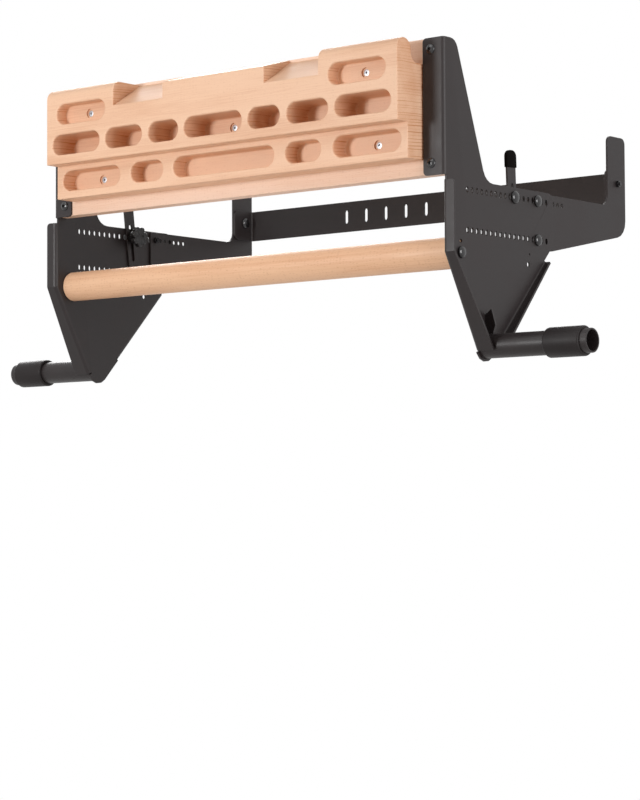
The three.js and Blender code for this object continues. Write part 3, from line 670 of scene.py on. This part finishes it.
sanded = bmesh.new()
sanded.from_mesh(block.data)
bmesh.ops.dissolve_limit(
    sanded, angle_limit=FLAT_WITHIN, verts=sanded.verts, edges=sanded.edges
)
back_limit = (back - BACK_MARGIN) * MM
hard = [
    e for e in sanded.edges
    if e.is_convex
    and e.calc_face_angle(0) > SANDED_ABOVE
    and min(v.co.y for v in e.verts) < back_limit
]
ease(sanded, hard, SANDED_ROUND * MM, 3, clamp_overlap=False, miter_outer="ARC")
sanded.to_mesh(block.data)
sanded.free()
print("sanded edges:", len(hard), "faces now:", len(block.data.polygons))

# %% [markdown]
# ## The pocket cutter
#
# A router bit with a round nose leaves a pocket with straight walls and a filleted floor,
# and sandpaper rounds its mouth. The cutter is that space turned solid: a round-ended slot,
# bevelled round its floor, with a brim outside the wood. A bevel in the corner under the
# brim is what rounds the mouth.

# %% Where the pockets are
POCKET_HEIGHT = 27.0
pockets = [
    # centre out from the middle, centre above the foot, width, depth, face that it starts from
    (235.5, 111.0, 89.0, 18.5, face),
    (244.5, 70.0, 87.0, 42.0, face),
    (157.0, 70.0, 66.0, 42.0, face),
    (86.0, 70.0, 52.0, 42.0, face),
    (0.0, 70.0, 98.0, 42.0, face),
    (235.0, 24.0, 105.5, 23.5, step_face),
    (133.5, 24.0, 57.0, 23.5, step_face),
    (0.0, 24.0, 172.0, 23.5, step_face),
]
print("pockets, with those of the left half:", sum(2 if pocket[0] else 1 for pocket in pockets))

# %% Rout the pockets
MOUTH_ROUND = 2.2
FLOOR_ROUND = 2.4
BRIM_CLEAR = 0.02
BRIM_EXTRA = 0.05
CORNER_GAP = 0.01  # left between two round corners, which can't quite meet
MERGED_WITHIN = 0.05
RING_REACH = 0.5


def ring_edges(bm, y):
    """The edges that lie flat in the plane at y."""
    return [e for e in bm.edges if all(abs(v.co.y - y) < NEAR for v in e.verts)]


def pocket_cutter(x, z, width, depth, start):
    """The space of one pocket, from its floor out past the wood."""
    half, tall = width / 2, POCKET_HEIGHT / 2
    floor, brim = start + depth, start - BRIM_CLEAR

    def from_spine(vert):
        """The way to a vertex from the line between the centres of the round ends."""
        nearest = min(max(vert.co.x, x - half + tall), x + half - tall)
        return vert.co - Vector((nearest, vert.co.y, z))

    bm = bmesh.new()
    quarters = ((-1, -1), (1, -1), (1, 1), (-1, 1))
    verts = [bm.verts.new((x + a * half, floor, z + b * tall)) for a, b in quarters]
    bm.faces.new(verts)
    round_corners(bm, verts, [tall - CORNER_GAP] * 4, 14)
    bmesh.ops.remove_doubles(bm, verts=bm.verts, dist=MERGED_WITHIN)
    top = push(bm, bm.faces[:], (0, brim - floor, 0))
    top = push(bm, top, (0, 0, 0), keep=False)
    for vert in {v for f in top for v in f.verts}:
        vert.co += from_spine(vert).normalized() * (MOUTH_ROUND + BRIM_EXTRA)
    push(bm, top, (0, -OVER, 0), keep=False)
    ease(bm, ring_edges(bm, floor), FLOOR_ROUND, 6)
    inner_ring = [
        e for e in ring_edges(bm, brim)
        if all(from_spine(v).length < tall + RING_REACH for v in e.verts)
    ]
    ease(bm, inner_ring, MOUTH_ROUND, 5)
    return to_piece("pocket_cutter", bm)


cutters = []
for out, level, width, depth, start in pockets:
    for sign in (1, -1) if out else (1,):
        cutters.append(pocket_cutter(out * sign, foot + level, width, depth, start))
carve(block, cutters)
print("routed block faces:", len(block.data.polygons))

# %% [markdown]
# The screws sit at the bottom of flat counterbores, so that no finger meets a head. Each
# counterbore is cut first and the cone that the head rests in is cut from its floor. The
# pocket floor is first split in four at the screw, so that the cut never leaves a face
# with a hole in it.

# %% Shapes on a screw's axis
screw_names = ("top_left", "top_right", "centre", "lower_left", "lower_right")
screw_boxes = {name: box_mm(f"hangboard_screw_{name}") for name in screw_names}


def move(bm, x=0.0, y=0.0, z=0.0):
    """Moves a whole shape."""
    bmesh.ops.translate(bm, vec=(x, y, z), verts=bm.verts)
    return bm


def turn_about(bm, degrees, axis):
    """Turns a whole shape about an axis through the origin."""
    matrix = Matrix.Rotation(math.radians(degrees), 3, axis)
    bmesh.ops.rotate(bm, cent=(0, 0, 0), matrix=matrix, verts=bm.verts)
    return bm


def rod(sides, foot_radius, top_radius, depth):
    """A rod or cone along Z, centred on the origin."""
    bm = bmesh.new()
    bmesh.ops.create_cone(
        bm, cap_ends=True, segments=sides, radius1=foot_radius, radius2=top_radius, depth=depth
    )
    return bm


def screw_seat(name, sides, foot_radius, mouth_radius, depth, ahead):
    """A cone or cylinder on a screw's axis. ahead is how far it sticks out of the floor."""
    low, high = screw_boxes[name]
    bm = turn_about(rod(sides, foot_radius, mouth_radius, depth), 90, "X")
    x, z = (low.x + high.x) / 2, (low.z + high.z) / 2
    return to_piece("screw_seat", move(bm, x, low.y + depth / 2 - ahead, z))


print("screws:", ", ".join(screw_names))

# %% Split the pocket floors at the screws
FLOOR_REACH = Vector((0.06, 1e-5, 0.02))  # metres


def on_floor(vert, centre):
    """Whether a vertex lies on the pocket floor that a screw goes through."""
    return all(abs(away) < reach for away, reach in zip(vert.co - centre, FLOOR_REACH))


quartered = bmesh.new()
quartered.from_mesh(block.data)
for low, high in screw_boxes.values():
    centre = Vector(((low.x + high.x) / 2, low.y, (low.z + high.z) / 2)) * MM
    for normal in ((1, 0, 0), (0, 0, 1)):
        pocket_floor = [f for f in quartered.faces if all(on_floor(v, centre) for v in f.verts)]
        around = {e for f in pocket_floor for e in f.edges}
        around |= {v for f in pocket_floor for v in f.verts}
        bmesh.ops.bisect_plane(
            quartered, geom=pocket_floor + list(around), dist=NEAR * MM,
            plane_co=centre, plane_no=normal,
        )
quartered.to_mesh(block.data)
quartered.free()
print("faces with split floors:", len(block.data.polygons))

# %% Counterbores, and the finished board
SCREW_DEPTH = 2.2
COUNTERBORE = 6.2
SCREW_SHANK = 1.6
CONE_MOUTH = 4.5
CONE_DEPTH = 3.1
BORE_OVER = 0.3
CONE_OVER = 0.2

bore_depth = SCREW_DEPTH + BORE_OVER
carve(block, [
    screw_seat(name, 48, COUNTERBORE, COUNTERBORE, bore_depth, BORE_OVER)
    for name in screw_names
])
carve(block, [
    screw_seat(name, 40, SCREW_SHANK, CONE_MOUTH, CONE_DEPTH, -SCREW_DEPTH + CONE_OVER)
    for name in screw_names
])
shade_by_angle(block.data)
weights = block.modifiers.new("flat faces stay flat", "WEIGHTED_NORMAL")
weights.keep_sharp = True
seat(block, "frame", ["hangboard"], board_wood)

# %% [markdown]
# ## Turned parts
#
# The bar, the tubes, their sleeves and every bolt are round, so one outline of half the
# part is spun about its axis. The outline is drawn as (place along the axis, radius)
# points, and rings that the lathe would ease are rounded afterwards by a bevel.

# %% A lathe
LATHE_SIDES = 96


def turned(outline, rounds=(), sides=LATHE_SIDES):
    """Spins (along, radius) points about X. rounds lists (point number, radius, segments)."""
    bm = bmesh.new()
    verts = [bm.verts.new((along, radius, 0)) for along, radius in outline]
    edges = [bm.edges.new(pair) for pair in zip(verts, verts[1:])]
    bmesh.ops.spin(
        bm, geom=verts + edges, cent=(0, 0, 0), axis=(1, 0, 0), angle=math.tau,
        steps=sides, use_merge=True,
    )
    bmesh.ops.remove_doubles(bm, verts=bm.verts, dist=NEAR)
    for number, size, segments in rounds:
        along, radius = outline[number]
        ring = [
            e for e in bm.edges
            if all(
                abs(v.co.x - along) < NEAR and abs(v.co.yz.length - radius) < NEAR
                for v in e.verts
            )
        ]
        ease(bm, ring, size, segments)
    return bm


def flipped(bm, sign):
    """The same shape for the other side of the frame."""
    bmesh.ops.scale(bm, vec=(sign, 1, 1), verts=bm.verts)
    return bm


def on_side(name, bm, label, centre):
    """A piece from a shape drawn for the right side, put where its own side has it."""
    return to_piece(name, move(flipped(bm, SIDES[label]), 0, centre.y, centre.z))


print("lathe ready")

# %% The pull-up bar
BAR_EASE = 2.0
BAR_SIDES = 128

low, high = box_mm("pull_up_bar")
bar_radius = (high.z - low.z) / 2
bar_y, bar_z = (low.y + high.y) / 2, (low.z + high.z) / 2
bar_outline = [(low.x, 0), (low.x, bar_radius), (high.x, bar_radius), (high.x, 0)]
bar_bm = turned(bar_outline, [(1, BAR_EASE, 4), (2, BAR_EASE, 4)], BAR_SIDES)
bar = to_piece("turned_bar", move(bar_bm, 0, bar_y, bar_z))
seat(bar, "frame", ["pull_up_bar"], bar_wood)

# %% [markdown]
# ## Handles
#
# Each handle is a steel tube welded to the foot of its side plate, with a rubber sleeve
# near its open end. The tube is one closed wall, outside, rim and bore, so that the
# bright edge of its mouth is real geometry.

# %% Tubes and sleeves
TUBE_WALL = 2.0
TUBE_RIM = 0.6
TUBE_BORE_RIM = 0.5
SLEEVE_GAP = 0.3
SLEEVE_ROUND = 2.2


def tube_wall(low, high, inner, outer):
    """The outline of a hollow piece along X that reaches as far as its CAD box."""
    start, stop = sorted((abs(low.x), abs(high.x)))
    wall = [(start, inner), (start, outer), (stop, outer), (stop, inner)]
    return wall + wall[:1]


for label in SIDES:
    low, high = box_mm(f"handle_tube_{label}")
    radius = (high.z - low.z) / 2
    wall = tube_wall(low, high, radius - TUBE_WALL, radius)
    tube_bm = turned(wall, [(2, TUBE_RIM, 3), (3, TUBE_BORE_RIM, 3)])
    centre = (low + high) / 2
    tube = on_side(f"tube_{label}", tube_bm, label, centre)
    seat(tube, "frame", [f"handle_tube_{label}"], powder)

    low, high = box_mm(f"handle_sleeve_{label}")
    wall = tube_wall(low, high, radius + SLEEVE_GAP, (high.z - low.z) / 2)
    sleeve_bm = turned(wall, [(1, SLEEVE_ROUND, 5), (2, SLEEVE_ROUND, 5)])
    sleeve = on_side(f"sleeve_{label}", sleeve_bm, label, centre)
    seat(sleeve, "frame", [f"handle_sleeve_{label}"], sleeve_rubber)

# %% [markdown]
# ## Domed bolts
#
# The plates are held by bolts with smooth mushroom heads. Half of a flattened sphere is
# the dome. Its flat underside is drawn in and pushed through as the shank, so head and
# shank are one skin.

# %% Bolts through the plates
DOME_RISE = 5.0
DOME_RIM = 1.4
HEAD_SIDES = 48
bolt_kinds = {
    # radius of the head, radius of the shank, whether the head points outwards
    "bar_bolt": (7.5, 3.0, True),
    "arm_bolt_top": (7.5, 2.2, True),
    "arm_bolt_bottom": (7.5, 2.2, True),
    "clamp_bolt": (8.0, 2.2, True),
    "rail_bolt": (7.5, 2.2, False),
}


def mushroom_bolt(radius, rise, rim, shank_radius, shank_length):
    """A domed head outwards along +X from x = 0, with its shank along -X."""
    bm = bmesh.new()
    bmesh.ops.create_uvsphere(
        bm, u_segments=HEAD_SIDES, v_segments=HEAD_SIDES // 2, radius=radius
    )
    turn_about(bm, 90, "Y")
    bmesh.ops.scale(bm, vec=((rise - rim) / radius, 1, 1), verts=bm.verts)
    bmesh.ops.bisect_plane(
        bm, geom=bm.verts[:] + bm.edges[:] + bm.faces[:], dist=NEAR,
        plane_co=(0, 0, 0), plane_no=(1, 0, 0), clear_inner=True,
    )
    open_edges = [e for e in bm.edges if e.is_boundary]
    for distance, scale in ((-rim, 1.0), (0.0, shank_radius / radius), (-shank_length, 1.0)):
        made = bmesh.ops.extrude_edge_only(bm, edges=open_edges)["geom"]
        verts = picked(made, bmesh.types.BMVert)
        bmesh.ops.scale(bm, vec=(1, scale, scale), verts=verts)
        bmesh.ops.translate(bm, vec=(distance, 0, 0), verts=verts)
        open_edges = picked(made, bmesh.types.BMEdge)
    bmesh.ops.holes_fill(bm, edges=open_edges, sides=0)
    return move(bm, rim)


for kind, (head, shank, outwards) in bolt_kinds.items():
    for label in SIDES:
        low, high = box_mm(f"{kind}_{label}")
        length = (high.x - low.x) - DOME_RISE
        bolt_bm = mushroom_bolt(head, DOME_RISE, DOME_RIM, shank, length)
        if outwards:
            move(bolt_bm, max(abs(low.x), abs(high.x)) - DOME_RISE)
        else:
            move(flipped(bolt_bm, -1), min(abs(low.x), abs(high.x)) + DOME_RISE)
        bolt = on_side(f"domed_{kind}_{label}", bolt_bm, label, (low + high) / 2)
        seat(bolt, "frame", [f"{kind}_{label}"], bolt_black)

# %% [markdown]
# ## Socket bolts, nuts and screws
#
# The flange bolts are low button heads with a hexagonal socket, the nuts behind them have
# their corners chamfered as forged nuts do, and the hangboard's screws are countersunk
# with a small driver recess. These are too small to model by hand one by one, so each
# kind is a function and the CAD box says where a copy goes.

# %% Button bolts and screws
BUTTON_RADIUS = 6.4
BUTTON_RISE = 3.4
BUTTON_RIM = 0.5
BUTTON_SHANK = 3.0
BUTTON_SOCKET = 2.3
SCREW_HEAD = 4.3
SCREW_CONE = 2.7
SCREW_EASE = 0.25
SCREW_SOCKET = 1.8
SOCKET_ROD = 4.4  # half of it reaches into the head


def cut_socket(piece, radius, x, y, z):
    """Cuts a hexagonal driver recess round a place on the front of a head."""
    hexagon = turn_about(rod(6, radius, radius, SOCKET_ROD), 90, "X")
    carve(piece, [to_piece("socket", move(hexagon, x, y, z))])
    shade_by_angle(piece.data)


for kind in ("flange_bolt_top", "flange_bolt_bottom"):
    for label in SIDES:
        low, high = box_mm(f"{kind}_{label}")
        centre = (low + high) / 2
        length = (high.y - low.y) - BUTTON_RISE
        bolt_bm = mushroom_bolt(BUTTON_RADIUS, BUTTON_RISE, BUTTON_RIM, BUTTON_SHANK, length)
        move(turn_about(bolt_bm, -90, "Z"), centre.x, low.y + BUTTON_RISE, centre.z)
        bolt = to_piece(f"button_{kind}_{label}", bolt_bm)
        cut_socket(bolt, BUTTON_SOCKET, centre.x, low.y, centre.z)
        seat(bolt, "frame", [f"{kind}_{label}"], bolt_black)

for name, (low, high) in screw_boxes.items():
    centre = (low + high) / 2
    length = high.y - low.y - SCREW_DEPTH
    head_y = low.y + SCREW_DEPTH
    outline = [
        (0, 0), (0, SCREW_HEAD), (-SCREW_CONE, SCREW_SHANK), (-length, SCREW_SHANK), (-length, 0)
    ]
    screw_bm = turn_about(turned(outline, [(1, SCREW_EASE, 2)], 48), -90, "Z")
    screw = to_piece(f"countersunk_{name}", move(screw_bm, centre.x, head_y, centre.z))
    cut_socket(screw, SCREW_SOCKET, centre.x, head_y, centre.z)
    seat(screw, "frame", [f"hangboard_screw_{name}"], zinc)

# %% Nuts with chamfered corners
NUT_DEGREES = 25
NUT_SIDES = 60
NUT_CHAMFER = 0.12
NUT_FLAT = 0.9
NUT_OVER = 2.0
# axis that the bolt follows, radius over the corners, bore, slot, finish
black_nut = ("X", 4.6, 2.5, "black_bolt", bolt_black)
zinc_nut = ("Y", 5.8, 3.3, "zinc", zinc)
nut_kinds = {
    "arm_nut_top": black_nut,
    "arm_nut_bottom": black_nut,
    "rail_nut": black_nut,
    "flange_nut_top": zinc_nut,
    "flange_nut_bottom": zinc_nut,
}


def chamfered_nut(radius, bore, height):
    """A hexagonal nut along X from x = 0 to its height."""
    chamfer = NUT_CHAMFER * radius
    flat = NUT_FLAT * radius
    side = [(chamfer, radius), (height - chamfer, radius)]
    outline = [(0, bore), (0, flat), *side, (height, flat), (height, bore), (0, bore)]
    nut = to_piece("nut", turned(outline, (), NUT_SIDES))
    hexagon = turn_about(rod(6, radius, radius, height + NUT_OVER), 90, "Y")
    carve(nut, [to_piece("hexagon", move(hexagon, height / 2))], "INTERSECT")
    return nut


for label in SIDES:
    for kind, (along, radius, bore, slot, finish) in nut_kinds.items():
        low, high = box_mm(f"{kind}_{label}")
        height = (high.x - low.x) if along == "X" else (high.y - low.y)
        nut = chamfered_nut(radius, bore, height)
        turn = Matrix.Rotation(math.radians(0 if along == "X" else 90), 4, "Z")
        to_middle = Matrix.Translation((-height / 2 * MM, 0, 0))
        nut.data.transform(Matrix.Translation((low + high) / 2 * MM) @ turn @ to_middle)
        nut.name = f"hex_{kind}_{label}"
        shade_by_angle(nut.data, NUT_DEGREES)
        seat(nut, "frame", [f"{kind}_{label}"], finish)

# %% [markdown]
# ## Sheet metal from the CAD
#
# The side plates, arms, rail and levers already have their true outline, holes and folds
# in the CAD. What they lack is the soft edge that powder coat gives to cut steel. A copy
# of each mesh is merged into clean faces, and a thin Bevel modifier rounds its edges so
# that they catch a line of light. The outward flange behind each handle narrows towards
# its upper end, so its points are drawn in, the more the higher they lie.

# %% Soften a copy of a CAD part
SHEET_EDGE = 0.35
WASHER_EDGE = 0.2
PLANK_EDGE = 0.8
CAD_MERGE = 0.002
SHEET_DEGREES = 30
EDGE_DEGREES = 50


def softened(name, node, edge, body, slot, material, reshape=None):
    """A merged copy of a CAD part with its edges rounded by edge millimetres."""
    bm = bmesh.new()
    bm.from_mesh(frame["nodes"][node].data)
    bmesh.ops.scale(bm, vec=(1 / MM,) * 3, verts=bm.verts)
    bmesh.ops.remove_doubles(bm, verts=bm.verts, dist=CAD_MERGE)
    bmesh.ops.dissolve_limit(bm, angle_limit=FLAT_WITHIN, verts=bm.verts, edges=bm.edges)
    if reshape:
        reshape(bm)
    piece = to_piece(name, bm, SHEET_DEGREES)
    soft = piece.modifiers.new("soft edge", "BEVEL")
    soft.width = edge * MM
    soft.segments = 2
    soft.limit_method = "ANGLE"
    soft.angle_limit = math.radians(EDGE_DEGREES)
    soft.use_clamp_overlap = False
    soft.harden_normals = True
    seat(piece, body, [node], material)


print("edges are softened by", SHEET_EDGE, "mm on sheet steel")

# %% Sheet metal and the board behind
FLANGE_ROOT = 333.0  # out from the middle, the plate's outer face
FLANGE_SKIN = 0.5
FLANGE_FRONT = 15.0
TAPER_FOOT = -234.0
TAPER_RISE = 98.0
FOOT_SHARE = 0.92
SHARE_LOST = 0.44


def taper_rear_flange(bm):
    """Narrows the outward flange behind the handle towards its upper end."""
    for vert in bm.verts:
        if abs(vert.co.x) > FLANGE_ROOT + FLANGE_SKIN and vert.co.y > FLANGE_FRONT:
            climb = min(max((vert.co.z - TAPER_FOOT) / TAPER_RISE, 0), 1)
            outward = (abs(vert.co.x) - FLANGE_ROOT) * (FOOT_SHARE - SHARE_LOST * climb)
            vert.co.x = math.copysign(FLANGE_ROOT + outward, vert.co.x)


for label in SIDES:
    sheet = (SHEET_EDGE, "frame", "powder_coat", powder)
    softened(f"folded_plate_{label}", f"side_plate_{label}", *sheet, taper_rear_flange)
    softened(f"gusset_{label}", f"handle_gusset_{label}", *sheet)
    softened(f"arm_{label}", f"rear_arm_{label}", *sheet)
    softened(
        f"lever_{label}_bar", f"clamp_lever_{label}", SHEET_EDGE, f"lever_{label}",
        "powder_coat", powder,
    )
    softened(
        f"washer_{label}", f"clamp_washer_{label}", WASHER_EDGE, f"lever_pivot_{label}",
        "black_bolt", bolt_black,
    )
softened("bent_rail", "rear_rail", SHEET_EDGE, "frame", "powder_coat", powder)
softened("backing_plank", "backing_board", PLANK_EDGE, "frame", "backing_wood", backing_wood)

# %% [markdown]
# ## Caps on the clamp levers
#
# The top of each lever is dipped in soft plastic, which spares what it presses on. The
# coat is thin, so it follows the flat bar and is rounded over its end. It is drawn upright
# and leaned along the direction in which its lever slides, which the frame's joint gives.

# %% Dipped caps
CAP_WIDTH = 20.4
CAP_THICKNESS = 5.4
CAP_LENGTH = 22.0
CAP_ROUND = 8.5
CAP_FOOT_ROUND = 1.0
CAP_RIM = 1.1
slides = {joint["name"]: joint for joint in frame["record"]["behaviour"]["joints"]}

for label in SIDES:
    low, high = box_mm(f"clamp_cap_{label}")
    up_lever = Vector(slides[f"lever_slide_{label}"]["axis"]).normalized()
    across = Vector((0, up_lever.z, -up_lever.y))
    middle = (low + high) / 2 - Vector((CAP_THICKNESS / 2, 0, 0))
    corners = [
        middle + across * CAP_WIDTH / 2 * a + up_lever * CAP_LENGTH / 2 * b
        for a, b in ((-1, -1), (1, -1), (1, 1), (-1, 1))
    ]
    radii = [CAP_FOOT_ROUND, CAP_FOOT_ROUND, CAP_ROUND, CAP_ROUND]
    cap_bm = extrude_outline(corners, radii, (CAP_THICKNESS, 0, 0), 12)
    rims = [e for e in cap_bm.edges if abs(e.verts[0].co.x - e.verts[1].co.x) < NEAR]
    ease(cap_bm, rims, CAP_RIM, 4)
    cap = to_piece(f"lever_{label}_cap", cap_bm)
    seat(cap, f"lever_{label}", [f"clamp_cap_{label}"], cap_rubber)

# %% [markdown]
# ## Star knobs
#
# The knob is moulded plastic with seven lobes that fingers turn. A ring of points is drawn
# in and out seven times round, extruded to the knob's thickness and bevelled all round.
# Its face is dished, and a round hub joins it to the washer behind.

# %% Knobs
KNOB_LOBES = 7
KNOB_RADIUS = 14.5
KNOB_THICK = 8.0
KNOB_RIM = 1.8
LOBE_DEPTH = 0.24
LOBE_WIDTH = 1.3
DISH_RIM = 2.6
DISH_DEPTH = 0.8
HUB_RADIUS = 8.0
HUB_HEIGHT = 8.0
HUB_INTO_STAR = 1.0


def star_knob():
    """A star along +X: its hub starts at x = 0 and its face is at the far end."""
    bm = bmesh.new()
    bmesh.ops.create_circle(bm, cap_ends=True, segments=KNOB_LOBES * 20, radius=KNOB_RADIUS)
    for vert in bm.verts:
        angle = math.atan2(vert.co.y, vert.co.x)
        vert.co *= 1 - LOBE_DEPTH * (1 - abs(math.cos(KNOB_LOBES * angle / 2))) ** LOBE_WIDTH
    push(bm, bm.faces[:], (0, 0, KNOB_THICK))
    rims = [e for e in bm.edges if abs(e.verts[0].co.z - e.verts[1].co.z) < NEAR]
    ease(bm, rims, KNOB_RIM, 4)
    top = max(bm.faces, key=lambda f: f.calc_center_median().z)
    bmesh.ops.inset_region(bm, faces=[top], thickness=DISH_RIM, depth=0)
    bmesh.ops.translate(bm, vec=(0, 0, -DISH_DEPTH), verts=top.verts)
    move(bm, z=HUB_HEIGHT)
    hub_length = HUB_HEIGHT + HUB_INTO_STAR
    hub = bmesh.ops.create_cone(
        bm, cap_ends=True, segments=48, radius1=HUB_RADIUS, radius2=HUB_RADIUS, depth=hub_length
    )
    bmesh.ops.translate(bm, vec=(0, 0, hub_length / 2), verts=hub["verts"])
    return turn_about(bm, 90, "Y")


for label in SIDES:
    low, high = box_mm(f"clamp_knob_{label}")
    knob_bm = move(flipped(star_knob(), -1), max(abs(low.x), abs(high.x)))
    knob = on_side(f"star_{label}", knob_bm, label, (low + high) / 2)
    seat(knob, f"knob_{label}", [f"clamp_knob_{label}"], knob_plastic)

# %% [markdown]
# ## Floor, light and camera
#
# The frame is used hung up high, so the floor lies a good way below it. The light is plain:
# a near lamp almost straight in front, which leaves crisp shade in the pockets, a second
# one from the right for the ends, a wide one overhead for the slopers, and one behind for
# the other views. Light Path tells rays apart: to the camera and in reflections the world
# is white, and so is most of the floor, which keeps a part of its own shading and with it
# the object's shadow. As light the world is dim and a little warm, like light that has
# come back from wood, so shade on the beech stays rich and never turns grey.

# %% Floor
FLOOR_LEVEL = -1.95
FLOOR_SIZE = 4000
FLOOR_SPECKS = 60.0
floor_bm = bmesh.new()
bmesh.ops.create_grid(floor_bm, x_segments=8, y_segments=8, size=FLOOR_SIZE)
floor = to_piece("floor", move(floor_bm, 0, 0, FLOOR_LEVEL / MM))
floor_material, floor_tree, floor_shader, floor_skin = start_finish("Pale floor", skin)
floor_skin.inputs["Grain Scale"].default_value = FLOOR_SPECKS
floor_tint = blend_colours(
    floor_tree, floor_skin.outputs["Wear"], srgb(243, 243, 243), srgb(238, 238, 238)
)
floor_tree.links.new(floor_tint, floor_shader.inputs["Base Color"])
floor_shader.inputs["Roughness"].default_value = 0.9


def looked_at(tree):
    """1 for camera, glossy and transmission rays, and 0 for rays that carry light."""
    path = tree.nodes.new("ShaderNodeLightPath")
    camera_or_glossy = arithmetic(
        tree, "MAXIMUM", path.outputs["Is Camera Ray"], path.outputs["Is Glossy Ray"]
    )
    return arithmetic(tree, "MAXIMUM", camera_or_glossy, path.outputs["Is Transmission Ray"])


WHITE_SHARE = 0.86
glow = floor_tree.nodes.new("ShaderNodeEmission")
floor_mix = floor_tree.nodes.new("ShaderNodeMixShader")
floor_end = floor_tree.nodes["Material Output"]
white = times(floor_tree, looked_at(floor_tree), WHITE_SHARE)
wire(floor_tree, floor_mix.inputs["Fac"], white)
wire(floor_tree, floor_mix.inputs[1], floor_shader.outputs["BSDF"])
wire(floor_tree, floor_mix.inputs[2], glow.outputs["Emission"])
wire(floor_tree, floor_end.inputs["Surface"], floor_mix.outputs["Shader"])
floor.data.materials.append(floor_material)
floor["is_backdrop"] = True
print("floor at", FLOOR_LEVEL, "m")

# %% Lamps
AIM = Vector((0, 0, -0.05))


def soft_lamp(name, place, power, size):
    """A square area lamp that looks at the object."""
    lamp = bpy.data.lights.new(name, "AREA")
    lamp.energy = power
    lamp.size = size
    holder = bpy.data.objects.new(name, lamp)
    bpy.context.scene.collection.objects.link(holder)
    holder.location = place
    holder.rotation_euler = (AIM - Vector(place)).to_track_quat("-Z", "Y").to_euler()


soft_lamp("key", (-0.45, -1.75, 0.02), 14.5, 0.35)
soft_lamp("fill", (3.1, -0.45, 0.1), 54, 1.4)
soft_lamp("overhead", (-0.3, -1.9, 1.9), 16, 1.6)
soft_lamp("back", (-2.2, 2.0, 1.2), 80, 1.8)
print("four lamps")

# %% World
ROOM_LIGHT = (1.0, 0.67, 0.42, 1)
ROOM_STRENGTH = 0.24
world = bpy.data.worlds.new("White room")
bpy.context.scene.world = world
world.use_nodes = True
room = world.node_tree
seen = room.nodes["Background"]
seen.inputs["Color"].default_value = (1, 1, 1, 1)
seen.inputs["Strength"].default_value = 1.0
lighting = room.nodes.new("ShaderNodeBackground")
lighting.inputs["Color"].default_value = ROOM_LIGHT
lighting.inputs["Strength"].default_value = ROOM_STRENGTH
mix = room.nodes.new("ShaderNodeMixShader")
room.links.new(looked_at(room), mix.inputs["Fac"])
room.links.new(lighting.outputs["Background"], mix.inputs[1])
room.links.new(seen.outputs["Background"], mix.inputs[2])
room.links.new(mix.outputs["Shader"], room.nodes["World Output"].inputs["Surface"])
bpy.context.scene.view_settings.view_transform = "Standard"
print("world strength for light:", ROOM_STRENGTH)

# %% [markdown]
# ## The camera
#
# The photograph was taken from low on the right. Its camera was worked out from the slot
# rows of both plates, whose holes are 10 mm apart: a long lens that looks up by a few
# degrees. Its axes are written as a rotation matrix, because a slight roll is part of it.

# %% Camera
YAW, PITCH, ROLL = (math.radians(v) for v in (39.31, 2.91, -0.29))
CAMERA_PLACE = Vector((2.1734, -2.58895, -0.4757))
LENS = 115.73
SENSOR = 36

reach = math.cos(PITCH)
forward = Vector((-math.sin(YAW) * reach, math.cos(YAW) * reach, math.sin(PITCH)))
level_right = Vector((math.cos(YAW), math.sin(YAW), 0))
level_up = level_right.cross(forward)
right = math.cos(ROLL) * level_right + math.sin(ROLL) * level_up
up = -math.sin(ROLL) * level_right + math.cos(ROLL) * level_up
turn = Matrix((right, up, -forward)).transposed().to_4x4()

lens = bpy.data.cameras.new("photo camera")
lens.sensor_fit = "VERTICAL"
lens.sensor_height = SENSOR
lens.sensor_width = SENSOR
lens.lens = LENS
lens.clip_end = 100
camera = bpy.data.objects.new("photo camera", lens)
camera.matrix_world = Matrix.Translation(CAMERA_PLACE) @ turn
bpy.context.scene.collection.objects.link(camera)
bpy.context.scene.camera = camera
print("camera at", [round(v, 3) for v in camera.matrix_world.translation])

# %% [markdown]
# ## Sizes and the end
#
# Both boxes, the CAD model's and the dressed object's, are printed, so that they can be compared.
# The dressed object has to stay in the CAD model's box.

# %% Print both boxes
visual_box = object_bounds()
for name, corners in (("CAD", cad_box), ("visual", visual_box)):
    print(name, "box", [[round(v, 4) for v in corner] for corner in corners])
